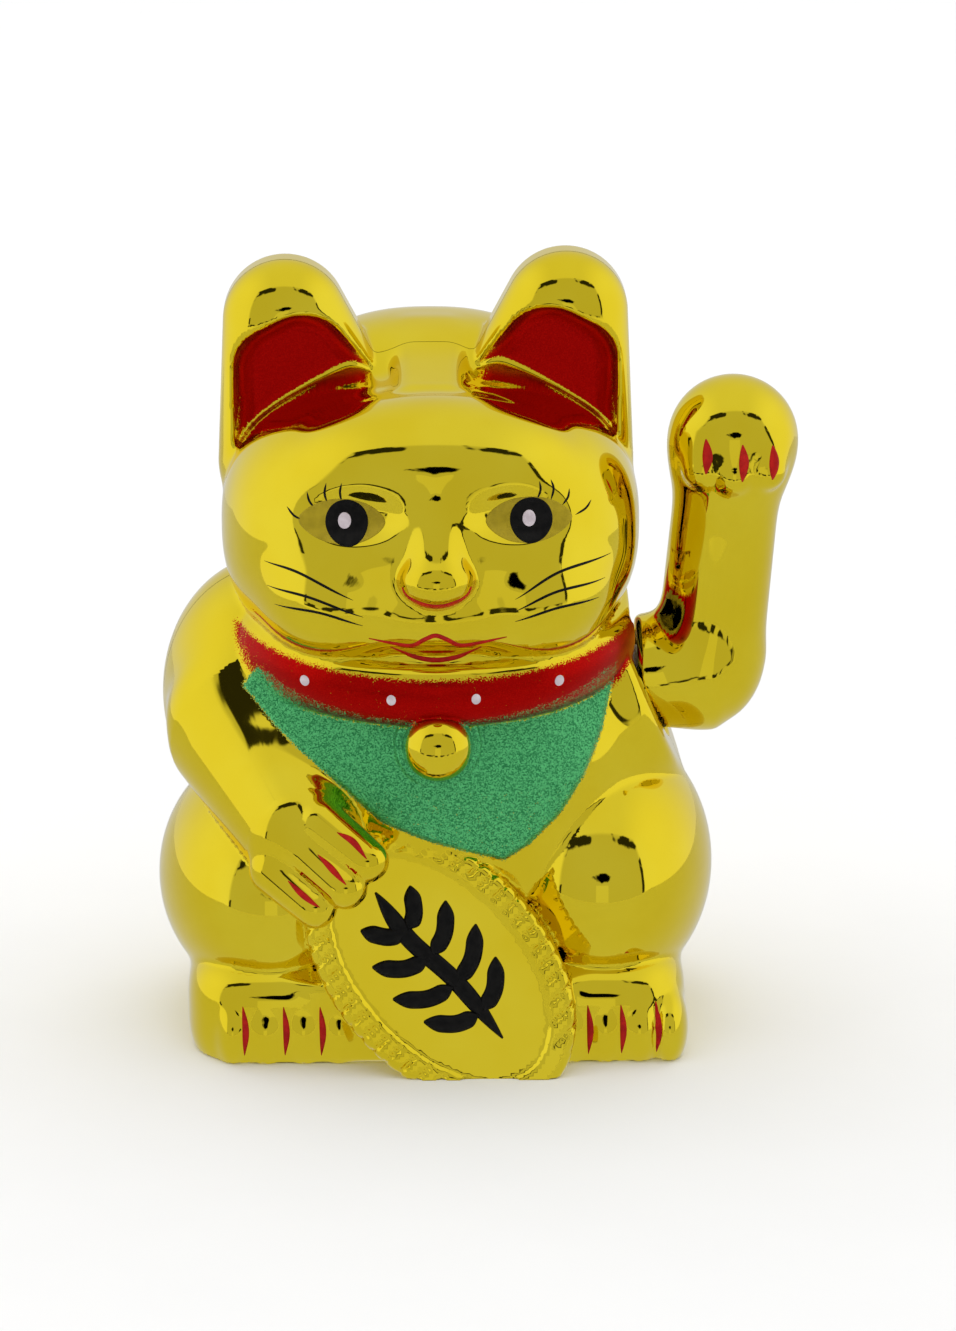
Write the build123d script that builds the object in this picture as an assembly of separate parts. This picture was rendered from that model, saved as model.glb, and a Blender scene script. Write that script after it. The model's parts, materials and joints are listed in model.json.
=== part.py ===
"""A seated, gold-plated beckoning cat with a battery-driven waving arm.

Two thin moulded shells meet on a vertical seam. An oval base plate closes them from below and carries
the battery box and a pendulum movement. The raised arm sits on the pendulum's axle, outside the shells.

Units are millimetres. The origin is on the resting plane, under the cat's midline, in the seam plane.
+Z is up, the cat faces -Y, and the raised arm is on its +X side.
"""
from build123d import *
import os

# ---- driving dimensions ----
WALL = 2.0            # shell wall
SEAM_Y = 0.0          # plane in which the front and rear shells meet
FOOT_WIDE = 92.0      # footprint, side to side
FOOT_DEEP = 76.0      # footprint, front to back, without the feet
FOOT_ROUND = 28.0     # footprint corner radius
PLATE_WIDE = 80.0
PLATE_DEEP = 64.0
PLATE_ROUND = 22.0
PLATE_THICK = 2.0
PLATE_GAP = 0.2       # between the plate and its opening, all round
HEAD_AT = (0, -3, 100)
HEAD_SIZE = (39, 36, 30)      # half-axes
PIVOT_Y = 2.0
PIVOT_Z = 66.0
AXLE_R = 1.0
AXLE_CLEARANCE = 0.05
ARM_X = 54.5                  # forearm centre line
ARM_R = 10.5                  # upper arm and elbow
ARM_WALL = 1.6
ROOT_X = 38.0                 # inner end of the upper arm
BAY_X = 42.5                  # the body ends here above the haunch, on the arm's side
BAY_Z = 52.0
NOTCH_X = 37.0                # how far in the arm's notch is cut
NOTCH_R = 12.5
HUB_R = 5.0
HUB_INNER_X = 36.5
HUB_OUTER_X = 50.0
PENDULUM_X = 20.0
MAGNET_R = 6.0
MAGNET_TALL = 4.0
MAGNET_LOW = 26.0
CUP_R = 8.0
WEIGHT_TALL = 6.0
WEIGHT_BACK = 1.8             # set back, because the paw and elbow lean forward
FRAME_HALF = 10.0             # pivot uprights stand this far each side of the pendulum
UPRIGHT_THICK = 2.0
UPRIGHT_WIDE = 11.0
COIL_TOP = 24.0
COIL_TALL = 10.0
COIL_R = 6.2                  # the bobbin's flanges
CELL_R = 7.1                  # AA cell
CELL_LONG = 49.2
CELL_NUB = 1.2
CELL_Y = -14.0
CELL_Z = 10.0
BOX_WALL = 1.5
BOX_IN_LOW = (-29.6, -22.0)   # battery box, inside, x and y
BOX_IN_HIGH = (27.4, -6.0)
BOX_TOP = 19.5
DOOR_GAP = 0.3
DOOR_THICK = 1.6
TAB_Z = 13.0                  # solder tabs, underside
DOOR_HALF = 28.4              # battery opening, half its length
SCREW_R = 1.1
SCREW_HEAD_R = 2.4
SCREW_HEAD_TALL = 1.0
BOSS_R = 3.0
BOSS_TOP = 12.0
FRONT_BOSS = (35.0, -10.0)
REAR_BOSS = (31.5, 20.0)
BOARD_LOW = (-26.0, 8.0)      # circuit board corner, x and y
BOARD_SIZE = (30.0, 20.0)
BOARD_Z = 8.0
BOARD_THICK = 1.6
LEAD_R = 0.6


# ---- helpers ----
def ellipsoid(centre, half_axes, turn=(0, 0, 0)):
    """An ellipsoid, turned about its own centre by three angles."""
    return Pos(*centre) * Rot(*turn) * scale(Sphere(1), by=half_axes)


def pod(start, end, radius):
    """A long ellipsoid whose tips lie one radius beyond start and end."""
    a, b = Vector(*start), Vector(*end)
    half = (b - a).length / 2 + radius
    place = Plane(origin=(a + b) / 2, z_dir=b - a)
    return place.location * scale(Sphere(1), by=(radius, radius, half))


def rod(start, end, radius):
    """A round bar between two points."""
    a, b = Vector(*start), Vector(*end)
    place = Plane(origin=a, z_dir=b - a)
    return place.location * Cylinder(radius, (b - a).length, align=(Align.CENTER, Align.CENTER, Align.MIN))


def block(low, high):
    """A box from its lowest corner to its highest."""
    size = [h - l for l, h in zip(low, high)]
    return Pos(*low) * Box(*size, align=(Align.MIN, Align.MIN, Align.MIN))


def mirrored(make):
    """The shape that make builds for the +X side and the one for the -X side."""
    return [make(1), make(-1)]


def joined(shapes):
    """One solid from overlapping shapes."""
    whole = shapes[0]
    for shape in shapes[1:]:
        whole = whole + shape
    return whole


def slab(wide, deep, corner, low, high):
    """An upright block with a rounded-rectangle outline."""
    return Pos(0, 0, low) * extrude(RectangleRounded(wide, deep, corner), high - low)


def write(name, shape):
    """Write one node to its own STEP file."""
    os.makedirs("parts", exist_ok=True)
    export_step(shape, f"parts/{name}.step")


# ---- the cat's outer form, and the same form moved in by a wall ----
def ear_outline(side, inset):
    """A rounded triangle, as the hull of three circles: tip, outer foot and inner foot."""
    circles = [(26.0, 138.5, 11.5), (31.0, 110.0, 8.5), (14.0, 122.0, 8.0)]
    arcs = [CenterArc((side * x, z), radius - inset, 0, 360) for x, z, radius in circles]
    return Plane.XZ * make_hull(arcs)


def ear(side, inset):
    """An ear as a thick rounded plate. Inset, it is the hollow behind the ear's pocket."""
    front, back = (-14.0, 9.0) if inset == 0 else (-4.0, 9.0 - inset)
    plate = extrude(Pos(0, back, 0) * ear_outline(side, inset), back - front)
    return fillet(plate.edges().filter_by(GeomType.CIRCLE), 4.0) if inset == 0 else plate


def ear_pocket(side):
    """The dished front of an ear, which stops at the head's surface."""
    return extrude(Pos(0, -7.5, 0) * ear_outline(side, 5.0), 12) - ellipsoid(HEAD_AT, HEAD_SIZE)


def coin(inset):
    """The oval coin that leans on the belly, tilted in its own plane and leaning back."""
    place = Pos(0.5, -34, 20.5) * Rot(78, 0, 0) * Rot(0, 0, 42)
    return place * extrude(Ellipse(20.5 - inset, 31.0 - inset), 11.0 - inset)


def collar(inset):
    """The band round the neck, lower at the front."""
    place = Pos(0, -2, 67 + inset) * Rot(9, 0, 0)
    return place * extrude(Ellipse(37.0 - inset, 34.5 - inset), 9 - 2 * inset)


def body_form(inset=0.0):
    """The whole seated body, without openings. inset moves every face in by that much."""
    def shrunk(half_axes):
        return tuple(h - inset for h in half_axes)

    shapes = [
        ellipsoid((0, 2, 50), shrunk((44, 36, 45))),
        slab(FOOT_WIDE - 2 * inset, FOOT_DEEP - 2 * inset, FOOT_ROUND - inset, inset, 22 - inset),
        ellipsoid(HEAD_AT, shrunk(HEAD_SIZE)),
        ellipsoid((0, 6, 110), shrunk((29, 27, 23))),
        ellipsoid((0, -19, 85), shrunk((25, 22, 14))),
        collar(inset),
        coin(inset),
        pod((-43, -13, 57), (-19, -39, 40), 10.5 - inset),
    ]
    shapes += mirrored(lambda s: ellipsoid((s * 31, 4, 63), shrunk((21, 24, 26))))
    shapes += mirrored(lambda s: ellipsoid((s * 31, -3, 28), shrunk((22, 35, 23))))
    shapes += mirrored(lambda s: ellipsoid((s * 30, -24, 8), shrunk((17, 20, 12.5))))
    shapes += mirrored(lambda s: ear(s, inset))
    if inset == 0:
        shapes += [
            ellipsoid((0, -35, 97), (11, 10, 5.5), (0, 90, 0)),
            rod((0, -28, 62), (0, -36.5, 60.5), 7.6),
            ellipsoid((0, -36, 61), (6, 6, 6)),
            ellipsoid((-18, -42, 37), (10, 8, 9)),
        ]
    return joined(shapes) & block((-80, -80, inset), (80, 80, 160))


def arm_bay(inset):
    """The space cut from the +X shoulder for the arm, grown by inset for the hollow inside."""
    return block((BAY_X - inset, -60, BAY_Z - inset), (80, 60, 92))


def arm_notch():
    """The opening in the shoulder that the upper arm turns in, open at the top."""
    drum = rod((NOTCH_X, PIVOT_Y, PIVOT_Z), (80, PIVOT_Y, PIVOT_Z), NOTCH_R)
    mouth = block((NOTCH_X, PIVOT_Y - NOTCH_R, PIVOT_Z), (80, PIVOT_Y + NOTCH_R, 89))
    return drum + mouth


def with_bosses(shell, place, hollow):
    """A shell with a screw post each side, each on a rib that reaches into the wall."""
    x, y = place
    for side in (1, -1):
        post = rod((side * x, y, WALL), (side * x, y, BOSS_TOP), BOSS_R)
        ends = sorted((side * x, side * 60))
        rib = block((ends[0], y - 0.8, WALL), (ends[1], y + 0.8, BOSS_TOP))
        shell = shell + ((post + rib) & hollow)
        shell = shell - rod((side * x, y, 0), (side * x, y, BOSS_TOP - 2), SCREW_R)
    return shell


def shells():
    """The front and rear halves of the hollow body."""
    outer = body_form() - arm_bay(0)
    for side in (1, -1):
        outer = outer - ear_pocket(side)
    hollow = body_form(WALL) - arm_bay(WALL)
    wall = outer - hollow - arm_notch()
    wall = wall - slab(PLATE_WIDE + 2 * PLATE_GAP, PLATE_DEEP + 2 * PLATE_GAP, PLATE_ROUND + PLATE_GAP, -1, WALL)
    front = wall & block((-90, -90, -5), (90, SEAM_Y, 170))
    rear = wall & block((-90, SEAM_Y, -5), (90, 90, 170))
    inside = body_form(WALL / 2)
    return with_bosses(front, FRONT_BOSS, inside), with_bosses(rear, REAR_BOSS, inside)


# ---- the waving arm ----
def arm_form(inset=0.0):
    """Upper arm, elbow, forearm and paw, without openings."""
    shapes = [
        rod((ROOT_X + inset, PIVOT_Y, PIVOT_Z), (ARM_X - 1, PIVOT_Y, PIVOT_Z), ARM_R - inset),
        ellipsoid((ARM_X - 1.5, PIVOT_Y, PIVOT_Z), (ARM_R + 0.5 - inset,) * 3),
        rod((ARM_X - 1, PIVOT_Y, PIVOT_Z), (ARM_X, 0, 112), 10.0 - inset),
        ellipsoid((ARM_X + 1, -2, 112), (12.2 - inset, 12.5 - inset, 13.5 - inset)),
    ]
    return joined(shapes)


def arm_shells():
    """The front and rear halves of the hollow arm, split through the pivot."""
    wall = arm_form() - arm_form(ARM_WALL)
    wall = wall - rod((ROOT_X - 1, PIVOT_Y, PIVOT_Z), (ROOT_X + 3, PIVOT_Y, PIVOT_Z), HUB_R)
    front = wall & block((0, -90, 0), (90, PIVOT_Y, 170))
    rear = wall & block((0, PIVOT_Y, 0), (90, 90, 170))
    return front, rear


def arm_hub():
    """The plug that the arm's halves close round. It is pressed on the axle."""
    plug = rod((HUB_INNER_X, PIVOT_Y, PIVOT_Z), (HUB_OUTER_X, PIVOT_Y, PIVOT_Z), HUB_R)
    collar_x = ROOT_X + ARM_WALL
    collar = rod((collar_x, PIVOT_Y, PIVOT_Z), (collar_x + 2, PIVOT_Y, PIVOT_Z), HUB_R + 2)
    return plug + collar - axle()


def axle():
    """The steel axle, from behind the inner upright to inside the arm."""
    return rod((PENDULUM_X - FRAME_HALF - 5, PIVOT_Y, PIVOT_Z), (HUB_OUTER_X - 2, PIVOT_Y, PIVOT_Z), AXLE_R)


def axle_clips():
    """Two spring clips that keep the axle from sliding along."""
    clips = []
    for x in (PENDULUM_X - FRAME_HALF - UPRIGHT_THICK - 1.2, PENDULUM_X + FRAME_HALF + UPRIGHT_THICK + 0.4):
        ring = rod((x, PIVOT_Y, PIVOT_Z), (x + 0.8, PIVOT_Y, PIVOT_Z), 2.4)
        ring = ring - rod((x, PIVOT_Y, PIVOT_Z), (x + 0.8, PIVOT_Y, PIVOT_Z), AXLE_R)
        gap = block((x, PIVOT_Y - 0.5, PIVOT_Z), (x + 0.8, PIVOT_Y + 0.5, PIVOT_Z + 3))
        clips.append(ring - gap)
    return Compound(children=clips)


# ---- the pendulum ----
def pendulum_lever():
    """Hub, stem and magnet cup in one moulding."""
    hub = rod((PENDULUM_X - 4, PIVOT_Y, PIVOT_Z), (PENDULUM_X + 4, PIVOT_Y, PIVOT_Z), 4)
    cup_top = MAGNET_LOW + MAGNET_TALL + 1.5
    stem = block((PENDULUM_X - 1.5, PIVOT_Y - 2.5, cup_top - 1), (PENDULUM_X + 1.5, PIVOT_Y + 2.5, PIVOT_Z))
    cup = rod((PENDULUM_X, PIVOT_Y, MAGNET_LOW), (PENDULUM_X, PIVOT_Y, cup_top), CUP_R)
    return hub + stem + cup - pendulum_magnet() - axle()


def pendulum_magnet():
    """The disc magnet in the underside of the cup."""
    return rod((PENDULUM_X, PIVOT_Y, MAGNET_LOW), (PENDULUM_X, PIVOT_Y, MAGNET_LOW + MAGNET_TALL), MAGNET_R)


def pendulum_weight():
    """The steel weight that rests on the cup and balances the arm."""
    low = MAGNET_LOW + MAGNET_TALL + 1.5
    y = PIVOT_Y + WEIGHT_BACK
    puck = rod((PENDULUM_X, y, low), (PENDULUM_X, y, low + WEIGHT_TALL), CUP_R - 0.5)
    slot = block((PENDULUM_X - 1.5, PIVOT_Y - 2.5, low), (PENDULUM_X + 1.5, PIVOT_Y + 2.5, low + WEIGHT_TALL))
    return puck - slot


# ---- the movement on the base plate ----
FRAME_SCREWS = ((PENDULUM_X - 8.5, PIVOT_Y), (PENDULUM_X + 8.5, PIVOT_Y))


def movement_frame():
    """A moulded U: foot bar, coil pedestal and two uprights with the axle's bearings."""
    y0, y1 = PIVOT_Y - UPRIGHT_WIDE / 2, PIVOT_Y + UPRIGHT_WIDE / 2
    left, right = PENDULUM_X - FRAME_HALF, PENDULUM_X + FRAME_HALF
    foot = block((left - UPRIGHT_THICK, y0, PLATE_THICK), (right + UPRIGHT_THICK, y1, PLATE_THICK + 3))
    pedestal = rod((PENDULUM_X, PIVOT_Y, PLATE_THICK), (PENDULUM_X, PIVOT_Y, COIL_TOP - COIL_TALL), 5)
    shape = foot + pedestal
    for x in (left - UPRIGHT_THICK, right):
        upright = block((x, y0, PLATE_THICK), (x + UPRIGHT_THICK, y1, PIVOT_Z))
        eye = rod((x, PIVOT_Y, PIVOT_Z), (x + UPRIGHT_THICK, PIVOT_Y, PIVOT_Z), UPRIGHT_WIDE / 2)
        shape = shape + upright + eye
    bore = rod((0, PIVOT_Y, PIVOT_Z), (60, PIVOT_Y, PIVOT_Z), AXLE_R + AXLE_CLEARANCE)
    shape = shape - bore
    for x, y in FRAME_SCREWS:
        shape = shape + rod((x, y, PLATE_THICK), (x, y, PLATE_THICK + 7), 2.2)
        shape = shape - rod((x, y, 0), (x, y, PLATE_THICK + 6), SCREW_R)
    return shape


def coil_bobbin():
    """A spool with two flanges."""
    low = COIL_TOP - COIL_TALL
    spool = rod((PENDULUM_X, PIVOT_Y, low), (PENDULUM_X, PIVOT_Y, COIL_TOP), 3.5)
    for z in (low, COIL_TOP - 1):
        spool = spool + rod((PENDULUM_X, PIVOT_Y, z), (PENDULUM_X, PIVOT_Y, z + 1), COIL_R)
    return spool - rod((PENDULUM_X, PIVOT_Y, low), (PENDULUM_X, PIVOT_Y, COIL_TOP), 1.5)


def coil_winding():
    """The enamelled copper winding between the flanges."""
    low, high = COIL_TOP - COIL_TALL + 1, COIL_TOP - 1
    ring = rod((PENDULUM_X, PIVOT_Y, low), (PENDULUM_X, PIVOT_Y, high), COIL_R - 0.4)
    return ring - rod((PENDULUM_X, PIVOT_Y, low), (PENDULUM_X, PIVOT_Y, high), 3.5)


# ---- circuit board ----
BOARD_POSTS = ((BOARD_LOW[0] + 3, BOARD_LOW[1] + 10), (BOARD_LOW[0] + 27, BOARD_LOW[1] + 10))


def circuit_board():
    """A small single-sided board with two fixing holes."""
    top = BOARD_Z + BOARD_THICK
    board = block((*BOARD_LOW, BOARD_Z), (BOARD_LOW[0] + BOARD_SIZE[0], BOARD_LOW[1] + BOARD_SIZE[1], top))
    for x, y in BOARD_POSTS:
        board = board - rod((x, y, BOARD_Z), (x, y, top), SCREW_R)
    return board


def transistor():
    """A TO-92 body on three legs."""
    x, y, z = BOARD_LOW[0] + 10, BOARD_LOW[1] + 10, BOARD_Z + BOARD_THICK
    body = rod((x, y, z + 3), (x, y, z + 8), 2.4) - block((x - 3, y - 3, z), (x + 3, y - 1.3, z + 9))
    for step in (-1.27, 0, 1.27):
        body = body + block((x + step - 0.25, y - 0.25, z), (x + step + 0.25, y + 0.25, z + 3.2))
    return body


def resistor():
    """An axial resistor lying on the board, with bent leads."""
    x, y, z = BOARD_LOW[0] + 17, BOARD_LOW[1] + 7, BOARD_Z + BOARD_THICK
    body = rod((x, y - 3.2, z + 1.6), (x, y + 3.2, z + 1.6), 1.2)
    lead = rod((x, y - 5, z + 1.6), (x, y + 5, z + 1.6), 0.3)
    legs = rod((x, y - 5, z), (x, y - 5, z + 1.9), 0.3) + rod((x, y + 5, z), (x, y + 5, z + 1.9), 0.3)
    return body + lead + legs


def capacitor():
    """A small upright electrolytic can."""
    x, y, z = BOARD_LOW[0] + 22, BOARD_LOW[1] + 14, BOARD_Z + BOARD_THICK
    can = rod((x, y, z), (x, y, z + 7), 2.5)
    return fillet(can.edges().group_by(Axis.Z)[-1], 0.4)


# ---- base plate, battery and door ----
def screw_hole(x, y):
    """A clearance hole with a counterbore from below."""
    return rod((x, y, 0), (x, y, PLATE_THICK), SCREW_R + 0.2) + rod((x, y, 0), (x, y, 1.2), SCREW_HEAD_R + 0.2)


def base_screw_places():
    return [(side * x, y) for x, y in (FRONT_BOSS, REAR_BOSS) for side in (1, -1)]


def base_plate():
    """The oval bottom plate with its battery box and board posts."""
    plate = slab(PLATE_WIDE, PLATE_DEEP, PLATE_ROUND, 0, PLATE_THICK)
    x0, y0 = BOX_IN_LOW
    x1, y1 = BOX_IN_HIGH
    box = block((x0 - BOX_WALL, y0 - BOX_WALL, PLATE_THICK), (x1 + BOX_WALL, y1 + BOX_WALL, BOX_TOP))
    box = box - block((x0, y0, PLATE_THICK), (x1, y1, BOX_TOP - BOX_WALL))
    hinge_notch = block((x0 - BOX_WALL - 1, CELL_Y - 6, PLATE_THICK), (x0, CELL_Y + 6, PLATE_THICK + 4))
    slots = block((x0 - 5, CELL_Y - 1.7, TAB_Z - 0.2), (x1 + 5, CELL_Y + 1.7, TAB_Z + 0.6))
    shape = plate + (box - hinge_notch - slots)
    shape = shape - block((-DOOR_HALF, y0, 0), (DOOR_HALF - 1.2, y1, PLATE_THICK))
    for x, y in base_screw_places() + list(FRAME_SCREWS):
        shape = shape - screw_hole(x, y)
    for x, y in BOARD_POSTS:
        shape = shape + rod((x, y, PLATE_THICK), (x, y, BOARD_Z), 2.5)
        shape = shape - rod((x, y, PLATE_THICK), (x, y, BOARD_Z), SCREW_R - 0.2)
    return shape


def battery_door():
    """The snap-in door: a ribbed plate, two hinge tabs at its -X end and a finger latch at +X."""
    y0, y1 = BOX_IN_LOW[1] + DOOR_GAP, BOX_IN_HIGH[1] - DOOR_GAP
    x0, x1 = -DOOR_HALF + DOOR_GAP, DOOR_HALF - 1.2 - DOOR_GAP
    plate = block((x0, y0, 0.2), (x1, y1, 0.2 + DOOR_THICK))
    for y in (CELL_Y - 4, CELL_Y + 4):
        plate = plate + block((x0 - 2.0, y - 1.5, PLATE_THICK + 0.3), (x0 + 2, y + 1.5, PLATE_THICK + 1.5))
        plate = plate + block((x0, y - 1.5, 0.2), (x0 + 2, y + 1.5, PLATE_THICK + 1.5))
    for step in range(4):
        x = x1 - 4 - 2 * step
        plate = plate - block((x, CELL_Y - 4, 0.2), (x + 1, CELL_Y + 4, 0.7))
    latch = block((x1 - 1.2, CELL_Y - 3, 0.2), (x1, CELL_Y + 3, PLATE_THICK + 0.9))
    slits = block((x1 - 7, CELL_Y - 4, 0), (x1, CELL_Y - 3.2, 3)) + block((x1 - 7, CELL_Y + 3.2, 0), (x1, CELL_Y + 4, 3))
    return plate - slits + latch


def battery_cell():
    """An AA cell with its positive nub towards +X."""
    x0 = BOX_IN_LOW[0] + 5.4
    can = rod((x0, CELL_Y, CELL_Z), (x0 + CELL_LONG, CELL_Y, CELL_Z), CELL_R)
    can = fillet(can.edges().filter_by(GeomType.CIRCLE), 0.6)
    return can + rod((x0 + CELL_LONG - 1, CELL_Y, CELL_Z), (x0 + CELL_LONG + CELL_NUB, CELL_Y, CELL_Z), 2.7)


def contact_tab(x0, x1):
    """A solder tab through an end wall of the battery box."""
    return block((x0, CELL_Y - 1.5, TAB_Z), (x1, CELL_Y + 1.5, TAB_Z + 0.4))


def contact_spring():
    """The negative contact: a strip with its solder tab, and a coil of wire wound about X."""
    x0 = BOX_IN_LOW[0]
    path = Helix(pitch=1.2, height=4.2, radius=3.2)
    wire = sweep(Plane(origin=path @ 0, z_dir=path % 0) * Circle(0.35), path=path)
    strip = block((x0 + 0.1, CELL_Y - 5, CELL_Z - 6), (x0 + 0.6, CELL_Y + 5, CELL_Z + 6))
    return strip + contact_tab(x0 - BOX_WALL - 1.2, x0 + 0.6) + Pos(x0 + 0.7, CELL_Y, CELL_Z) * Rot(0, 90, 0) * wire


def contact_plate():
    """The positive contact: a strip with a pressed dimple and its solder tab."""
    x1 = BOX_IN_HIGH[0]
    tip_x = BOX_IN_LOW[0] + 5.4 + CELL_LONG + CELL_NUB
    strip = block((x1 - 0.5, CELL_Y - 5, CELL_Z - 6), (x1 - 0.1, CELL_Y + 5, CELL_Z + 6))
    dimple = rod((tip_x, CELL_Y, CELL_Z), (x1 - 0.3, CELL_Y, CELL_Z), 1.6)
    return strip + dimple + contact_tab(x1 - 0.5, x1 + BOX_WALL + 1.2)


def screw(x, y, low, length):
    """A self-tapping screw with a cross recess in its head."""
    head = rod((x, y, low), (x, y, low + SCREW_HEAD_TALL), SCREW_HEAD_R)
    recess = block((x - 1.5, y - 0.3, low), (x + 1.5, y + 0.3, low + 0.6))
    recess = recess + block((x - 0.3, y - 1.5, low), (x + 0.3, y + 1.5, low + 0.6))
    return head - recess + rod((x, y, low + SCREW_HEAD_TALL), (x, y, low + length), SCREW_R)


def screws(places, low, length):
    return Compound(children=[screw(x, y, low, length) for x, y in places])


def board_screws():
    """Two screws that hold the board, head up."""
    top = BOARD_Z + BOARD_THICK
    heads = [
        rod((x, y, top), (x, y, top + 1.2), SCREW_HEAD_R - 0.4) + rod((x, y, BOARD_Z - 4), (x, y, top), SCREW_R - 0.2)
        for x, y in BOARD_POSTS
    ]
    return Compound(children=heads)


# ---- wiring ----
def lead(points, radius=LEAD_R):
    """A lead along straight runs joined by tangent arcs."""
    line = FilletPolyline(*points, radius=3 * radius)
    return sweep(Plane(origin=line @ 0, z_dir=line % 0) * Circle(radius), path=line)


def red_lead():
    """From the positive contact, over the battery box, to the board."""
    x, z, high = BOX_IN_HIGH[0] + BOX_WALL + 1.2, TAB_Z + 0.2, BOX_TOP + 1.5
    ends = [(x, CELL_Y, z), (x + 3, CELL_Y, z), (x + 3, CELL_Y, high)]
    return lead(ends + [(-4, CELL_Y, high), (-4, 12, high), (-4, 12, BOARD_Z + BOARD_THICK)])


def black_lead():
    """From the negative contact, round the end of the battery box, to the board."""
    x, z, high = BOX_IN_LOW[0] - BOX_WALL - 1.2, TAB_Z + 0.2, BOARD_Z + BOARD_THICK + 8
    ends = [(x, CELL_Y, z), (x - 2.5, CELL_Y, z), (x - 2.5, CELL_Y, high)]
    return lead(ends + [(x - 2.5, -3, high), (-22, 11, high), (-22, 11, BOARD_Z + BOARD_THICK)])


def coil_lead(step):
    """One end of the winding, past the movement's upright, down to the board."""
    x, y, z = PENDULUM_X - 1 - 2 * step, PIVOT_Y + 5.8 - 0.8 * step, COIL_TOP - COIL_TALL + 2.5 + 2 * step
    away = 10.2 + 2.2 * step
    down = (1 - step, away, BOARD_Z + BOARD_THICK)
    return lead([(x, y, z), (x, away, z), (down[0], away, z), down], 0.3)


def main():
    front, rear = shells()
    write("front_shell", front)
    write("rear_shell", rear)
    arm_front, arm_rear = arm_shells()
    write("arm_front_shell", arm_front)
    write("arm_rear_shell", arm_rear)
    write("arm_hub", arm_hub())
    write("pivot_axle", axle())
    write("axle_clips", axle_clips())
    write("pendulum_lever", pendulum_lever())
    write("pendulum_magnet", pendulum_magnet())
    write("pendulum_weight", pendulum_weight())
    write("movement_frame", movement_frame())
    write("frame_screws", screws(FRAME_SCREWS, 0.1, 7))
    write("coil_bobbin", coil_bobbin())
    write("coil_winding", coil_winding())
    write("circuit_board", circuit_board())
    write("transistor", transistor())
    write("resistor", resistor())
    write("capacitor", capacitor())
    write("board_screws", board_screws())
    write("base_plate", base_plate())
    write("base_screws", screws(base_screw_places(), 0.1, 9))
    write("battery_door", battery_door())
    write("battery_cell", battery_cell())
    write("contact_spring", contact_spring())
    write("contact_plate", contact_plate())
    write("red_lead", red_lead())
    write("black_lead", black_lead())
    write("coil_lead_start", coil_lead(0))
    write("coil_lead_end", coil_lead(1))


main()
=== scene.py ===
# %% [markdown]
# # A gold beckoning cat, rebuilt over its measured parts
#
# The cat is a cheap and cheerful counter ornament. Two thin plastic shells are metallised in a vacuum
# chamber, lacquered yellow, and clipped together on a vertical seam. A battery movement rocks the arm.
# The exact solids give the sizes, the movement and the joints. Here the shells are sculpted as smooth
# surfaces, painted, and lit in a white tent.

# %% The frame and its sizes
import json
import math

import bmesh
import bpy
import numpy as np
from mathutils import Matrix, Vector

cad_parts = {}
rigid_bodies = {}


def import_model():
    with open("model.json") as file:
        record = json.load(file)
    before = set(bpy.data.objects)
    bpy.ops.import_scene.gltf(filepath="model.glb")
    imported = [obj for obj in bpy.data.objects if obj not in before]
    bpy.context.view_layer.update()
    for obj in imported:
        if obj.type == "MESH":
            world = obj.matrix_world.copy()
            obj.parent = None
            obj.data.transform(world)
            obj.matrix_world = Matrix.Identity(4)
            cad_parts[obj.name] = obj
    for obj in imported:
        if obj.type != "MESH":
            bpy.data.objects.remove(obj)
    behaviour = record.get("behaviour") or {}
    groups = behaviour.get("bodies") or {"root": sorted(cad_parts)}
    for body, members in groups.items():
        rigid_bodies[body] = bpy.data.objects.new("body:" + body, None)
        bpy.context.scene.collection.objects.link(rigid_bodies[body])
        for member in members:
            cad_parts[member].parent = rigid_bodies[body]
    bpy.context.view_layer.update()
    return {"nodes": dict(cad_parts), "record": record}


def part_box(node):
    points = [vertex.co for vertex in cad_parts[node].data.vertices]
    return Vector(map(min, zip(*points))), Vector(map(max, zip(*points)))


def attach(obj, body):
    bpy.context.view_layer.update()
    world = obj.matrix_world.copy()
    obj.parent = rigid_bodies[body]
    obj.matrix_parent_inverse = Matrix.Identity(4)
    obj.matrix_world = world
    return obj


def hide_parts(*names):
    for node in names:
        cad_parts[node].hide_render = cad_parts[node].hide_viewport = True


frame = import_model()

import openvdb
from mathutils import Matrix, Vector

RECORD = frame["record"]
SWING = next(j for j in RECORD["behaviour"]["joints"] if j["name"] == "arm_swing")
low, high = (np.array(v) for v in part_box("front_shell"))
MM = float(high[2] - low[2]) / 150.0
PIVOT = np.array(SWING["pos_m"]) / MM
print("body shell, lowest corner in mm", [round(float(v) / MM, 1) for v in low])
print("body shell, highest corner in mm", [round(float(v) / MM, 1) for v in high])
print("pivot of the raised arm in mm", PIVOT)

# %% [markdown]
# ## Fields
#
# A mirror finish shows every flaw in a surface, so the shells are not pushed about by hand. Each form is a
# field: a function that gives the distance to a surface, in millimetres, negative inside. Fields melt
# together with a fillet of a chosen size and never leave a crease that was not wanted.

# %% Round fields
def ball(p, centre, radii):
    """An ellipsoid."""
    q = [(v - c) / r for v, c, r in zip(p, centre, radii)]
    k0 = np.sqrt(q[0] ** 2 + q[1] ** 2 + q[2] ** 2 + 1e-8)
    k1 = np.sqrt((q[0] / radii[0]) ** 2 + (q[1] / radii[1]) ** 2 + (q[2] / radii[2]) ** 2 + 1e-10)
    return k0 * (k0 - 1) / k1


def egg(p, centre, radii, power):
    """An ellipsoid squared off by a power above 2."""
    q = [np.abs(v - c) / r for v, c, r in zip(p, centre, radii)]
    return ((q[0] ** power + q[1] ** power + q[2] ** power + 1e-9) ** (1 / power) - 1) * min(radii)


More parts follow.
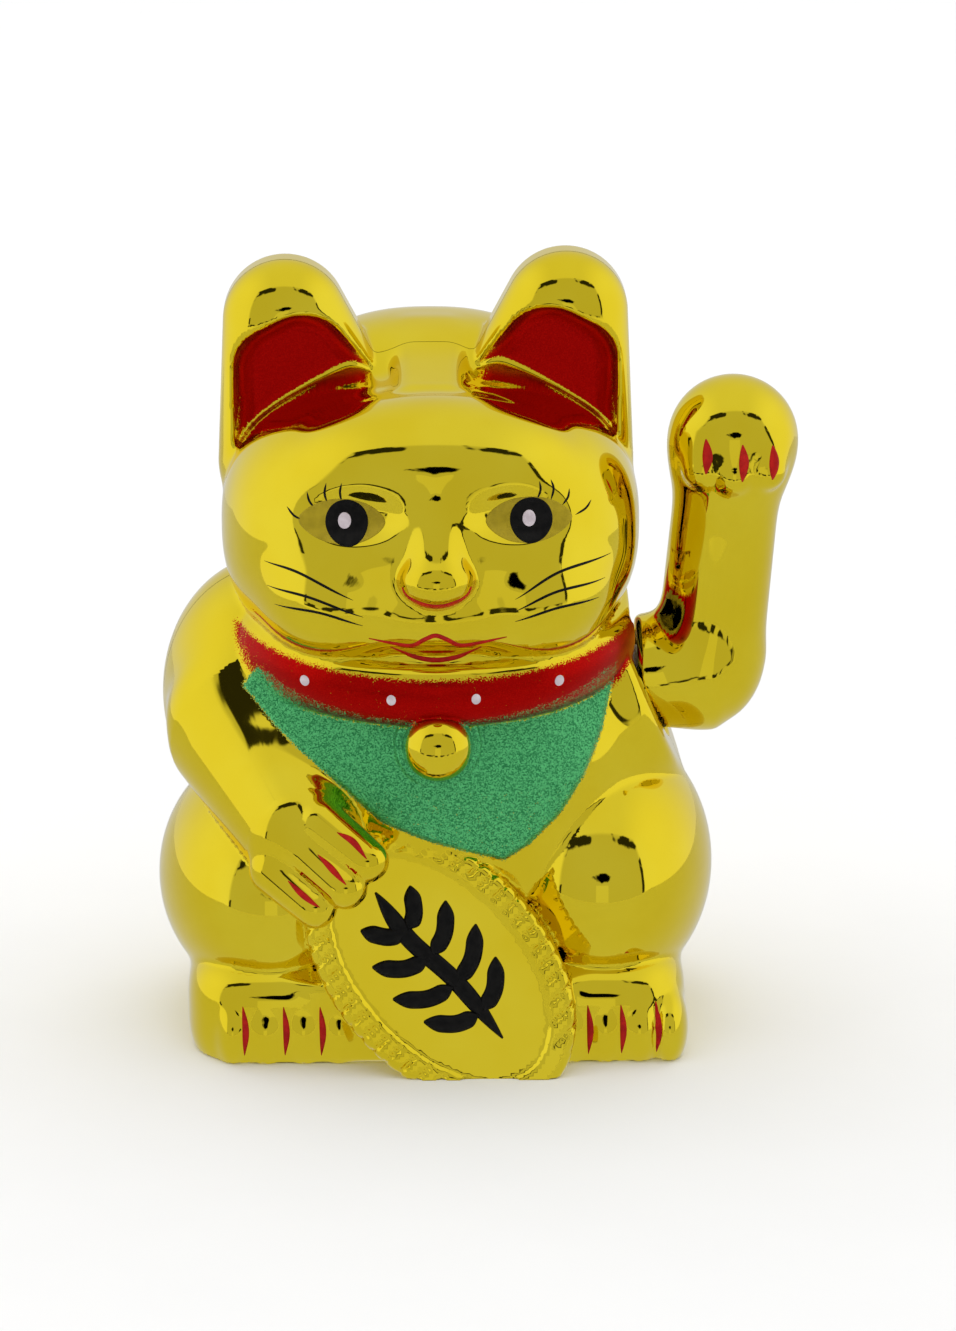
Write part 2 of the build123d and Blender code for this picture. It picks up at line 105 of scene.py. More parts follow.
def limb(p, a, b, ra, rb):
    """A round bar from a to b, of radius ra at a and rb at b."""
    ab = [v - u for u, v in zip(a, b)]
    ap = [v - u for u, v in zip(a, p)]
    t = np.clip(sum(u * v for u, v in zip(ab, ap)) / sum(u * u for u in ab), 0, 1)
    away = [u - v * t for u, v in zip(ap, ab)]
    return np.sqrt(away[0] ** 2 + away[1] ** 2 + away[2] ** 2) - (ra + (rb - ra) * t)


print("a 5 mm ball, 7 mm from its centre:", round(float(ball((7, 0, 0), (0, 0, 0), (5, 5, 5))), 3))

# %% [markdown]
# Flat things need flat fields. A box can have rounded edges. A polygon gives the distance to an outline in a
# plane, and a prism gives that outline a thickness. The coin, the ears and the bib are all made this way.

# %% Flat fields
def box(p, centre, half, rounding):
    """A box with rounded edges."""
    q = [np.abs(v - c) - h + rounding for v, c, h in zip(p, centre, half)]
    out = np.sqrt(sum(np.maximum(v, 0) ** 2 for v in q))
    return out + np.minimum(np.maximum(np.maximum(q[0], q[1]), q[2]), 0) - rounding


def polygon(u, v, corners):
    """Signed distance to a polygon in a plane, negative inside."""
    best = None
    odd = False
    for (ax, ay), (bx, by) in zip(corners, corners[1:] + corners[:1]):
        ex, ey = bx - ax, by - ay
        wx, wy = u - ax, v - ay
        t = np.clip((wx * ex + wy * ey) / (ex * ex + ey * ey), 0, 1)
        d = (wx - ex * t) ** 2 + (wy - ey * t) ** 2
        best = d if best is None else np.minimum(best, d)
        crosses = ((ay <= v) != (by <= v)) & ((ex * (v - ay) / (ey if ey else 1e-9) + ax) > u)
        odd = odd ^ crosses
    return np.where(odd, -1.0, 1.0) * np.sqrt(best)


def prism(flat, depth, rounding):
    """A flat outline given a thickness, with its edges rounded off."""
    out = np.hypot(np.maximum(flat, 0), np.maximum(depth, 0))
    return out + np.minimum(np.maximum(flat, depth), 0) - rounding


print("a 10 mm cube at its centre:", float(box((0, 0, 0), (0, 0, 0), (5, 5, 5), 1)))

# %% [markdown]
# Joining is where the character of a moulding comes from. A wide melt gives the soft run of a cheek into a
# brow, and a narrow one gives the sharp valley where a mould insert ended. Carving is the same sum turned
# inside out.

# %% Joining fields
def melt(a, b, k):
    """The union of two fields, with a fillet about k wide."""
    h = np.maximum(k - np.abs(a - b), 0) / k
    return np.minimum(a, b) - h**3 * k / 6


def carve(a, b, k):
    """Field a with b taken out of it, the new edge eased over about k."""
    return -melt(-a, b, k)


def turned(p, centre, turns):
    """p seen from a frame at centre that is turned by (axis, degrees) steps."""
    m = Matrix.Identity(3)
    for axis, degrees in turns:
        m = m @ Matrix.Rotation(math.radians(degrees), 3, axis)
    q = [v - c for v, c in zip(p, centre)]
    return [sum(m[i][j] * q[i] for i in range(3)) for j in range(3)]


def ease(t):
    """0 below 0, 1 above 1, smooth between."""
    t = np.clip(t, 0, 1)
    return t * t * (3 - 2 * t)


print("a 6 mm melt bulges out by", float(-melt(0.0, 0.0, 6)), "mm")

# %% [markdown]
# ## The head
#
# The ears are thick rounded plates whose fronts are dished, and the forehead meets each dish in a lip. Each
# ear is an outline given by three corners, with a large rounding, so its tip is broad like the real one.

# %% Ears
HEAD_X = -0.8
EARS_X = -1.6
EARS = {-1: 0.0, 1: 1.4}


def ear_outline(p, side, corners):
    """Distance to an ear outline, from its corners as (distance out, height)."""
    return polygon(p[0], p[2], [(EARS_X + side * out, height + EARS[side]) for out, height in corners])


def dish_outline(p, side):
    """Distance to the core of an ear's dish, which is 4.8 mm inside its edge."""
    return ear_outline(p, side, [(26.6, 112.0), (26.8, 126.0), (23.2, 128.0), (15.6, 119.0)])


def ear(p, side):
    """One ear, a rounded plate with its front dished."""
    flat = ear_outline(p, side, [(26.2, 134.8), (27.4, 108.0), (15.3, 114.5)])
    plate = prism(flat, (np.abs(p[1] - 2.8) - 2.0) * 1.25, 11.6)
    return carve(plate, prism(dish_outline(p, side) - 4.8, p[1] + 4.5, 4.2), 2.4)


print("depth of an ear's plate at its middle, mm:", round(-float(ear((22.0, 2.8, 125.0), 1)), 2))

# %% [markdown]
# The head is a broad ellipsoid, squared off a little, with a crown behind and a strap of plastic over it.
# The face is built forward from there: brow, sockets, cheeks, eyeballs, muzzle, nose and lips, each melted
# into the last. The order matters, because a socket carved after the brow cuts the brow.

# %% Face and head
def face(p):
    """Brow, sockets, cheeks, muzzle and nose, on a squared-off ellipsoid, with the strap over the crown."""
    field = egg(p, (HEAD_X, -2.5, 97.5), (39.2, 35.0, 27.5), 2.45)
    field = melt(field, egg(p, (HEAD_X, 14, 110), (29, 21, 23.8), 2.4), 6)
    strap = turned(p, (HEAD_X, -1, 119.4), [("X", 16)])
    field = melt(field, box(strap, (0, 0, 0), (6.4, 15, 10.0), 3.5), 4)
    field = melt(field, ball(p, (0, -20.5, 112.0), (26, 15.5, 13.0)), 3)
    for side in (-1, 1):
        field = carve(field, ball(p, (side * 18.5, -41.0, 106.3), (14.5, 9.5, 6.6)), 2.5)
    for side in (-1, 1):
        field = melt(field, ball(p, (side * 15.5, -20, 89.0), (17.5, 18.0, 14.5)), 4)
        field = melt(field, ball(p, (side * 16.8, -25.2, 104.4), (10.5, 7.6, 5.6)), 2.0)
    field = melt(field, ball(p, (0, -25.5, 87.0), (16, 13.0, 9)), 5)
    field = melt(field, limb(p, (0, -31.6, 109.5), (0, -37.4, 95.5), 3.9, 5.6), 3.0)
    field = melt(field, ball(p, (0, -38.0, 94.6), (6.6, 6.0, 4.5)), 2.5)
    for side in (-1, 1):
        field = melt(field, ball(p, (side * 5.8, -30.6, 82.6), (7.5, 4.8, 2.5)), 1.0)
    field = melt(field, ball(p, (0.0, -28.6, 78.0), (16.0, 5.6, 3.6)), 2.0)
    return field


def head(p):
    """Face, crown and both ears."""
    field = face(p)
    for side in (-1, 1):
        field = melt(field, ear(p, side), 1.6)
    return field


print("the tip of the nose is inside the head:", bool(head((0.0, -43.0, 94.6)) < 0))

# %% [markdown]
# ## The coin and the bib
#
# The coin leans back against the belly and turns to one side. It is a plate with a sunken field, and small
# notches are pressed across its two long edges. The bib is an outline in the plane of the chest, used twice:
# once to raise the chest a little, and later to mask the green paint.

# %% Coin and bib
COIN_AT = (0.5, -39.0, 20.5)
COIN_TURNS = [("X", -12), ("Y", -42)]
COIN_HALF = (20.0, 30.5)
CRIMP_STEP = 3.1
BIB = [(-30, 78), (-34.5, 72), (-36, 70), (-30, 64), (-22.0, 57.5), (-10.5, 47.5), (-2, 44), (6, 41.5),
       (12.4, 39.4), (17, 42), (23, 47.5), (27.5, 54), (31, 62), (33.5, 72), (34, 80), (0, 84)]


def coin(p):
    """The oval coin: a plate with a recessed field, and crimps along its two long edges."""
    u, w, v = turned(p, COIN_AT, COIN_TURNS)
    k0 = np.sqrt((u / COIN_HALF[0]) ** 2 + (v / COIN_HALF[1]) ** 2 + 1e-8)
    k1 = np.sqrt((u / COIN_HALF[0] ** 2) ** 2 + (v / COIN_HALF[1] ** 2) ** 2 + 1e-10)
    flat = k0 * (k0 - 1) / k1
    plate = prism(flat + 1.8, np.abs(w - 4.6) - 4.6 + 1.8, 1.8)
    angle = np.arctan2(v / COIN_HALF[1], u / COIN_HALF[0])
    long_side = ease((np.abs(np.cos(angle)) - 0.25) / 0.3)
    rim = ease((flat + 5.2) / 1.6) * ease((-flat + 0.3) / 0.9)
    crimps = np.maximum(np.cos(v * 2 * math.pi / CRIMP_STEP), 0) ** 2
    height = -0.8 * ease((-flat - 4.4) / 1.4) - 0.55 * rim * long_side * crimps
    return plate - height * (w < 3)


print("the coin is", 2 * COIN_HALF[0], "by", 2 * COIN_HALF[1], "mm, notched every", CRIMP_STEP, "mm")

# %% [markdown]
# ## Arm and feet
#
# The resting arm is a tapered sleeve, flattened front to back, with three fingers over the coin's edge. Each
# foot is a rounded block with four toes that meet at the painted claws.

# %% Resting arm and feet
FINGERS = [((-21.5, -35.5, 48), (-12.8, -41.5, 42.4)), ((-25, -35.5, 43.5), (-16.8, -42, 37.4)),
           ((-30, -34.5, 38.5), (-22.4, -40.5, 33.2))]
CLAWS = [-36.0, -28.4, -21.6, 28.4, 34.6, 41.2]


def resting_arm(p):
    """A broad sleeve of a forearm, and a paw with three fingers on the coin's edge."""
    x, y, z = p
    sleeve = limb((x, y * 1.5, z), (-35.0, -18.0, 58.5), (-24.5, -48.0, 44), 15.5, 11.2) / 1.25
    for start, tip in FINGERS:
        sleeve = melt(sleeve, limb(p, start, tip, 4.8, 4.0), 1.6)
    return sleeve


def foot(p, side):
    """A rounded foot with four toes."""
    field = egg(p, (side * 28.6, -14.0, 7.0), (18.6, 20.6, 13.0), 3.2)
    marks = sorted(x * side for x in CLAWS if x * side > 0)
    edges = [marks[0] - 6.5, *marks, marks[-1] + 4.6]
    for a, b in zip(edges, edges[1:]):
        toe = ball(p, (side * (a + b) / 2, -27.8, 5.0), ((b - a) / 2 + 1.5, 8.0, 7.6))
        field = melt(field, toe, 1.6)
    return field


print("claws between the toes at x =", CLAWS)

# %% [markdown]
# The bell sits in a dished ring at the throat, and the collar is a padded band that dips towards the front.
# The collar's place is named because the paint masks need it again.

# %% Bell and collar
COLLAR_AT = (0, -2.5, 77.0)
COLLAR_TURNS = [("X", 9)]


def bell(p):
    """The bell and the dished ring that it sits in."""
    q = turned(p, (0.2, -34.6, 62.4), [("X", -6)])
    across = np.hypot(q[0], q[2])
    disc = prism(across - 6.9, np.abs(q[1] - 1.5) - 1.2, 1.1)
    groove = np.hypot(across - 6.9, q[1] + 1.5) - 1.0
    return melt(carve(disc, groove, 0.5), ball(q, (0, -1.2, 0), (6.4, 6.2, 6.4)), 0.4)


def collar(p):
    """A padded band round the neck, lower at the front."""
    q = turned(p, COLLAR_AT, COLLAR_TURNS)
    across = np.hypot(q[0] / 35.0, q[1] / 33.0)
    return np.hypot((across - 1) * 34.0 / 3.6, q[2] / 6.0) * 3.9 - 3.9


print("the collar's front edge stands at y =", -2.5 - 33.0 - 3.6)

# %% [markdown]
# ## The body
#
# Chest, shoulders, haunches and feet are one moulding with the head. Where the haunch meets the chest and
# the foot, the mould has a sharp valley, so those unions get almost no fillet. The sleeve does the opposite:
# it melts softly into the shoulder and stays crisp at the paw. A slope is cut away for the raised arm.

# %% Chest and body
def chest(p):
    """Chest and shoulders with the raised bib, cut back for the arm."""
    x, y, z = p
    field = ball(p, (0, 1, 50), (43.5, 36, 45))
    for side in (-1, 1):
        field = melt(field, ball(p, (side * 31, 4, 62), (21, 23.5, 26)), 7)
    field = field - 0.8 * ease(-polygon(x, z, BIB) / 0.9) * (y < -8)
    slope = ((x - 36.3) + (z - 74) * 0.42) / 1.085
    bay = np.maximum(-slope, 44 - z) + 0 * y
    return carve(field, bay, 2.5)


def body(p):
    """The whole outside of the body, without the raised arm."""
    x, y, z = p
    field = melt(chest(p), collar(p), 0.8)
    for side in (-1, 1):
        lift = 2.0 + 2.0 * side
        haunch = ball(p, (side * 31, -2, 28 + lift / 2), (22, 32.5, 23.5 + lift / 2))
        field = melt(field, haunch, 1.6)
    outline = box((x, y, 0 * z), (0, 1, 0), (44, 33.5, 99), 26)
    field = melt(field, prism(outline, np.abs(z - 8) - 6, 2), 2.4)
    for side in (-1, 1):
        field = melt(field, foot(p, side), 1.4)
    field = melt(field, resting_arm(p), 0.9 + 8.0 * ease((z - 50) / 14))
    field = melt(field, coin(p), 0.7)
    field = melt(field, bell(p), 0.5)
    return field


print("the belly is inside the body:", bool(body((0.0, -20.0, 40.0)) < 0))

# %% [markdown]
# A real shell is hollow, and so is this one. The inside is the same field moved in by the wall. Two openings
# are cut: a U-shaped notch where the upper arm turns, and the hole in the bottom that the base plate fills.

# %% Hollow body
WALL = 1.8


def notch(p):
    """The slot that the upper arm turns in, open at the top."""
    x, y, z = p
    drum = np.hypot(y - PIVOT[1], z - PIVOT[2]) - 12.5
    mouth = np.maximum(np.abs(y - PIVOT[1]) - 12.5, PIVOT[2] - z)
    return np.maximum(np.maximum(np.minimum(drum, mouth), 36.6 - x), z - 89)


def plate_hole(p):
    """The opening that the base plate fills."""
    x, y, z = p
    flat = box((x, y, 0 * z), (0, 0, 0), (40.2, 32.2, 99), 22.2)
    return np.maximum(flat, z - 2.0)


def cat_outside(p):
    """Body and head together, cut flat on the ground."""
    return np.maximum(melt(body(p), head(p), 1.4), -p[2])


def cat_shell(p):
    """The hollow body, cut flat underneath, with its notch and its base opening."""
    outside = cat_outside(p)
    field = np.maximum(outside, -(outside + WALL))
    field = carve(field, notch(p), 0.6)
    return carve(field, plate_hole(p), 0.3)


print("wall of the body shells:", WALL, "mm")

# %% [markdown]
# ## The raised arm
#
# The arm is a second, smaller pair of shells. The upper arm comes out of the notch on the pivot's axis,
# bends at a round elbow, and rises to a paw that folds forward.

# %% The arm's field
ARM_WALL = 1.5


def arm_outside(p):
    """Root, elbow, forearm and paw of the raised arm."""
    x, y, z = p
    py, pz = PIVOT[1], PIVOT[2]
    root = prism(np.hypot(y - py, z - pz) - 9.5, np.abs(x - 46.0) - 6.5, 1.3)
    field = melt(root, ball(p, (51.0, py, pz + 0.2), (10.8, 10.9, 10.9)), 4)
    field = melt(field, limb(p, (52.6, py - 0.5, pz + 6), (55.2, -1.5, 104), 10.2, 9.9), 7)
    field = melt(field, ball(p, (55.9, -3.2, 112.6), (12.2, 11.6, 12.2)), 8)
    for tip in ((49.6, -10.5, 108.5), (55.6, -12.0, 107.6), (61.8, -10.8, 108.2)):
        field = melt(field, limb(p, (tip[0], -7.5, 114), tip, 4.4, 3.5), 2.2)
    return field


def arm_shell(p):
    """The hollow arm, bored for its hub."""
    outside = arm_outside(p)
    field = np.maximum(outside, -(outside + ARM_WALL))
    bore = np.maximum(np.hypot(p[1] - PIVOT[1], p[2] - PIVOT[2]) - 5.05, p[0] - 44)
    return carve(field, bore, 0.2)


print("wall of the arm shells:", ARM_WALL, "mm")

# %% [markdown]
# ## From field to mesh
#
# The field is sampled on a grid and turned into faces. Each vertex then steps along the field's slope until
# it lies on the true surface, so the mesh is as smooth as the mathematics. The slope itself comes from small
# differences on either side of each point.

# %% From field to mesh
VOXEL = 0.75


def slope_of(field, points, step=0.02):
    """The field's value and unit slope at points."""
    value = field(tuple(points.T))
    grad = np.empty_like(points)
    for axis in range(3):
        moved = points.copy()
        moved[:, axis] += step
        up = field(tuple(moved.T))
        moved[:, axis] -= 2 * step
        grad[:, axis] = (up - field(tuple(moved.T))) / (2 * step)
    size = np.linalg.norm(grad, axis=1, keepdims=True)
    return value, grad / np.maximum(size, 1e-6), size[:, 0]


def surface(field, low, high, voxel=VOXEL):
    """Vertices and quads of the field's zero surface between two corners."""
    axes = [np.arange(a, b, voxel, dtype=np.float64) for a, b in zip(low, high)]
    grid_points = (axes[0][:, None, None], axes[1][None, :, None], axes[2][None, None, :])
    values = np.broadcast_to(field(grid_points), tuple(len(a) for a in axes)).astype(np.float32)
    grid = openvdb.FloatGrid(3 * voxel)
    grid.copyFromArray(np.clip(values, -3 * voxel, 3 * voxel))
    points, quads = grid.convertToQuads(isovalue=0.0)
    points = points.astype(np.float64) * voxel + np.array(low)
    for _ in range(3):
        value, normal, size = slope_of(field, points)
        step = np.clip(value / np.maximum(size, 0.5), -0.5 * voxel, 0.5 * voxel)
        points = points - normal * step[:, None]
    return points, quads


print("grid step", VOXEL, "mm")

# %% [markdown]
# The seam is cut with a plane and the cut walls are filled, which leaves each shell a closed piece. The two
# halves stop a hair short of the plane, so a thin dark line runs round the cat as it does on the real one.

# %% Cutting at the seam
SEAM = 0.16


def seam_plane(name):
    """Where the seam of a shell lies, along y."""
    return PIVOT[1] if "arm" in name else 0.0


def cut_half(points, quads, plane_y, side, name):
    """The part of a closed mesh before (side -1) or behind (side 1) a plane, its cut walls filled."""
    mesh = bpy.data.meshes.new(name)
    mesh.from_pydata(points.tolist(), [], quads.tolist())
    bm = bmesh.new()
    bm.from_mesh(mesh)
    everything = bm.verts[:] + bm.edges[:] + bm.faces[:]
    bmesh.ops.bisect_plane(bm, geom=everything, dist=1e-5, plane_co=(0, plane_y + side * SEAM / 2, 0),
                           plane_no=(0, -side, 0), clear_outer=True)
    rim = [e for e in bm.edges if e.is_boundary]
    filled = bmesh.ops.triangle_fill(bm, use_beauty=False, use_dissolve=False, edges=rim,
                                     normal=(0, -side, 0))
    new_faces = [f for f in filled["geom"] if isinstance(f, bmesh.types.BMFace)]
    for face in new_faces:
        if face.normal.y * side > 0:
            face.normal_flip()
    left_open = sum(e.is_boundary for e in bm.edges)
    bm.to_mesh(mesh)
    bm.free()
    print(name, len(mesh.polygons), "faces,", len(new_faces), "on the seam,", left_open, "open edges")
    return mesh


print("hairline at each seam:", SEAM, "mm")

# %% [markdown]
# Shading normals come from the field too, so a reflection slides over a shell without seeing its faces.
# Only the flat seam walls keep their own normals. The inside of a shell was never plated, so faces deep
# inside the outer surface take a second finish.

# %% Shell objects
def read_all(items, key, width, kind=float):
    """One value, or a few, from every item of a mesh."""
    values = np.empty(len(items) * width, kind)
    items.foreach_get(key, values)
    return values.reshape(-1, width) if width > 1 else values


def shell_object(name, mesh, field, outside, wall):
    """A shell as an object: smooth normals from the field, and a second finish for its inside."""
    points = read_all(mesh.vertices, "co", 3)
    _, normals, _ = slope_of(field, points)
    face_normal = read_all(mesh.polygons, "normal", 3)
    centre = read_all(mesh.polygons, "center", 3)
    from_seam = np.abs(centre[:, 1] - seam_plane(name))
    flat = (np.abs(face_normal[:, 1]) > 0.9999) & (np.abs(from_seam - SEAM / 2) < 1e-3)
    depth = outside(tuple(centre.T))
    mesh.polygons.foreach_set("material_index", ((depth < -0.5 * wall) & ~flat).astype(np.int32))
    totals = read_all(mesh.polygons, "loop_total", 1, np.int32)
    corner_vertex = read_all(mesh.loops, "vertex_index", 1, np.int32)
    on_seam = np.repeat(flat, totals)[:, None]
    corner_normal = np.where(on_seam, np.repeat(face_normal, totals, axis=0), normals[corner_vertex])
    mesh.polygons.foreach_set("use_smooth", np.ones(len(mesh.polygons), bool))
    mesh.normals_split_custom_set(corner_normal.tolist())
    mesh.transform(Matrix.Scale(MM, 4))
    shell = bpy.data.objects.new(name, mesh)
    bpy.context.scene.collection.objects.link(shell)
    return shell, points


def add_values(mesh, name, values):
    """A value for each vertex, for a finish to read."""
    mesh.attributes.new(name, "FLOAT", "POINT").data.foreach_set("value", values.astype(np.float32))


print("normals come from the field, so a shell needs no smoothing modifier")

# %% [markdown]
# ## Masks for the spray
#
# Red and green were sprayed through masks. Every vertex keeps its distance from the edge of each sprayed
# area, in millimetres, so that the finish can break that edge up into grains.

# %% Spray masks
def red_depth(points):
    """How far inside the red paint each point lies: the collar band and the two ear dishes."""
    p = tuple(points.T)
    q = turned(p, COLLAR_AT, COLLAR_TURNS)
    best = np.minimum(np.minimum(q[2] + 5.6, 4.4 - q[2]), 0.8 - collar(p))
    for side in (-1, 1):
        dish = np.minimum(8.6 - dish_outline(p, side), (face(p) - 0.5) * 8)
        best = np.maximum(best, np.minimum(dish, 1.5 - p[1]))
    return best


def green_depth(points):
    """How far inside the bib each point lies."""
    p = tuple(points.T)
    on_chest = np.minimum(0.45 + 3.5 * ease((p[2] - 53) / 9) - chest(p), -6 - p[1])
    below = -turned(p, COLLAR_AT, COLLAR_TURNS)[2]
    outline = -polygon(p[0], p[2], BIB)
    return np.minimum(np.minimum(outline, on_chest), np.minimum(collar(p) - 0.1, below))


print("bib outline of", len(BIB), "corners")

# %% [markdown]
# ## The shells
#
# Four shells are made in one loop: the cat's front and rear, and the arm's front and rear. Each rides on the
# body or the arm, and takes the place of the plain solid that stood for it.

# %% Body and arm shells
NO_PAINT = -9
shells = {}
plan = {
    "cat": (cat_shell, cat_outside, WALL, (-56, -56, -2.2), (56, 42, 152)),
    "arm": (arm_shell, arm_outside, ARM_WALL, (36, -20, 52), (70, 16, 127)),
}
for whole, (field, outside, wall, lowest, highest) in plan.items():
    points, quads = surface(field, lowest, highest)
    for side, half in ((-1, "front"), (1, "rear")):
        name = f"{whole}_{half}"
        mesh = cut_half(points, quads, seam_plane(name), side, name)
        shells[name], where = shell_object(name, mesh, field, outside, wall)
        bare = where[:, 0] * 0 + NO_PAINT
        add_values(mesh, "red_depth", red_depth(where) if whole == "cat" else bare)
        add_values(mesh, "green_depth", green_depth(where) if whole == "cat" else bare)

nodes_for = {"cat_front": "front_shell", "cat_rear": "rear_shell",
             "arm_front": "arm_front_shell", "arm_rear": "arm_rear_shell"}
for name, node in nodes_for.items():
    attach(shells[name], "arm" if "arm" in name else "body")
    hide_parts(node)
print("shells", {k: len(v.data.polygons) for k, v in shells.items()})

# %% [markdown]
# ## Writing finishes
#
# Finishes are arithmetic on patterns. This small class lets a shader value be added and multiplied like a
# number, and one method makes every other kind of node.

# %% Shader arithmetic
class Value:
    """A shader output that can be used in arithmetic."""

    def __init__(self, sheet, socket):
        self.sheet, self.socket = sheet, socket

    def do(self, operation, *others):
        """A math node's result, by the operation's name."""
        return self.sheet.node("ShaderNodeMath", {"operation": operation}, [self, *others])

    def __add__(self, other):
        return self.do("ADD", other)

    def __sub__(self, other):
        return self.do("SUBTRACT", other)

    def __mul__(self, other):
        return self.do("MULTIPLY", other)

    def __truediv__(self, other):
        return self.do("DIVIDE", other)

    def __rsub__(self, other):
        return self.sheet.node("ShaderNodeMath", {"operation": "SUBTRACT"}, [other, self])

    def __rtruediv__(self, other):
        return self.sheet.node("ShaderNodeMath", {"operation": "DIVIDE"}, [other, self])

    def __neg__(self):
        return self * -1.0

    __radd__ = __add__
    __rmul__ = __mul__

    def ramp(self, start, end):
        """0 at start, 1 at end, smooth between."""
        settings = {"interpolation_type": "SMOOTHSTEP"}
        limits = {"Value": self, "From Min": start, "From Max": end}
        return self.sheet.node("ShaderNodeMapRange", settings, limits)


print("shader arithmetic is ready")

# %% [markdown]
# A sheet holds the nodes of one material or of the world. Its node method takes a type, settings, and socket
# values or links, and returns a value that the arithmetic above can use.

# %% Sheets of nodes
class Sheet:
    """The nodes of one material or world."""

    def __init__(self, owner):
        owner.use_nodes = True
        self.tree = owner.node_tree
        self.tree.nodes.clear()

    def node(self, kind, settings=None, inputs=None, output=0):
        """Any node, with its settings, and values or links for its sockets."""
        made = self.tree.nodes.new(kind)
        for key, value in (settings or {}).items():
            setattr(made, key, value)
        pairs = inputs.items() if isinstance(inputs, dict) else enumerate(inputs or [])
        for key, value in pairs:
            if isinstance(value, Value):
                self.tree.links.new(value.socket, made.inputs[key])
            else:
                made.inputs[key].default_value = value
        return Value(self, made.outputs[output])

    def mix(self, amount, a, b):
        """Colour a where amount is 0, b where it is 1."""
        full = [v if isinstance(v, Value) else (*v, 1.0) for v in (a, b)]
        return self.node("ShaderNodeMix", {"data_type": "RGBA"}, {0: amount, 6: full[0], 7: full[1]}, 2)

    def noise(self, place, scale, detail=2.0, roughness=0.5):
        """Cloudy noise, scale being in cells per metre."""
        inputs = {"Vector": place, "Scale": scale, "Detail": detail, "Roughness": roughness}
        return self.node("ShaderNodeTexNoise", None, inputs)

    def place(self):
        """The place on the object, in metres."""
        return self.node("ShaderNodeTexCoord", None, None, 3)

    def part(self, vector, axis):
        """One part of a vector."""
        split = self.node("ShaderNodeSeparateXYZ", None, [vector])
        return Value(self, split.socket.node.outputs[axis])

    def bump(self, strength, distance, height):
        """A bump, its distance being in metres."""
        inputs = {"Strength": strength, "Distance": distance, "Height": height}
        return self.node("ShaderNodeBump", None, inputs)

    def value_of(self, name):
        """A value that each vertex carries."""
        return self.node("ShaderNodeAttribute", {"attribute_name": name}, None, 2)


def material(name, build):
    """A material whose build(sheet) gives the inputs of a Principled surface."""
    made = bpy.data.materials.new(name)
    sheet = Sheet(made)
    skin = sheet.node("ShaderNodeBsdfPrincipled", None, build(sheet))
    out = sheet.tree.nodes.new("ShaderNodeOutputMaterial")
    sheet.tree.links.new(skin.socket, out.inputs["Surface"])
    return made


print("a material is a function that returns the inputs of one Principled surface")

# %% [markdown]
# ## Gold, red and green
#
# The gold is a film of aluminium under a yellow lacquer, so it is a metal with a strong tint and almost no
# roughness. The red and the green are sprayed through masks over it. Their edges break up into grains, and
# the green carries glitter.

# %% The plated finish
GOLD = (0.80, 0.62, 0.022)


def gold_inputs(s):
    """Plating with the red and green sprayed over it."""
    place = s.place()
    grain = s.noise(place, 4200.0, 1.0)
    spray = s.noise(place, 900.0, 2.0)
    red = (s.value_of("red_depth") + (spray - 0.5) * 0.7 + (grain - 0.5) * 2.6).ramp(-0.05, 0.10)
    green = (s.value_of("green_depth") + (spray - 0.5) * 0.5 + (grain - 0.5) * 1.6).ramp(-0.05, 0.10)
    glitter = s.node("ShaderNodeTexVoronoi", None, {"Vector": place, "Scale": 4600.0}, 1)
    flake = s.node("ShaderNodeSeparateColor", None, [glitter])
    smudge = s.noise(place, 55.0, 3.0)
    gold = s.mix(smudge.ramp(0.3, 0.8), GOLD, (0.83, 0.67, 0.035))
    red_colour = s.mix(grain.ramp(0.35, 0.75), (0.40, 0.0022, 0.0018), (0.52, 0.005, 0.003))
    green_colour = s.mix(flake.ramp(0.05, 0.95), (0.012, 0.22, 0.062), (0.11, 0.60, 0.21))
    colour = s.mix(green, s.mix(red, gold, red_colour), green_colour)
    paint = red + green * (1.0 - red)
    ripple = s.noise(place, 420.0, 2.0) * 0.012
    return {"Base Color": colour, "Metallic": 1.0 - green * 0.5,
            "Roughness": 0.035 + red * 0.27 + green * 0.38,
            "Normal": s.bump(0.5, 0.0001, flake * green * 1.2 + ripple * (1.0 - paint))}


gold_skin = material("gold_plating", gold_inputs)
raw_inside = material("raw_plastic", lambda s: {
    "Base Color": s.mix(s.noise(s.place(), 90.0), (0.30, 0.28, 0.22), (0.40, 0.38, 0.31)),
    "Roughness": 0.5 + s.noise(s.place(), 300.0) * 0.1})
for shell in shells.values():
    shell.data.materials.append(gold_skin)
    shell.data.materials.append(raw_inside)
print("plating on", sorted(shells))

# %% [markdown]
# ## Paint that is laid on
#
# Eyes, whiskers and claws are brushed or printed films on the plating. A film is a very thin closed piece.
# Its points are dropped straight back onto the shell's own field, so it follows every curve and keeps a
# crisp edge, however close the view. Its underside sinks a little into the shell, so no light gets under it.

# %% Dropping points onto a shell
FILM = 0.07
SUNK = -0.15
BACKWARD = np.array([0.0, 1.0, 0.0])


def drop(starts, direction, field):
    """Where points moving in a direction first meet a field's surface."""
    points = starts.copy()
    for _ in range(70):
        points = points + direction * np.clip(field(tuple(points.T)), -3, 40)[:, None] * 0.8
    return points


def from_front(flat, field):
    """Points on the surface behind (x, z) pairs seen from the front."""
    flat = np.asarray(flat, dtype=float)
    starts = np.column_stack([flat[:, 0], np.full(len(flat), -75.0), flat[:, 1]])
    return drop(starts, BACKWARD, field)


def lifted(points, field, height):
    """Points moved off the surface by their heights."""
    _, normal, _ = slope_of(field, points)
    return points + normal * np.asarray(height).reshape(-1, 1)


print("paint stands", FILM, "mm proud and sinks", -SUNK, "mm")

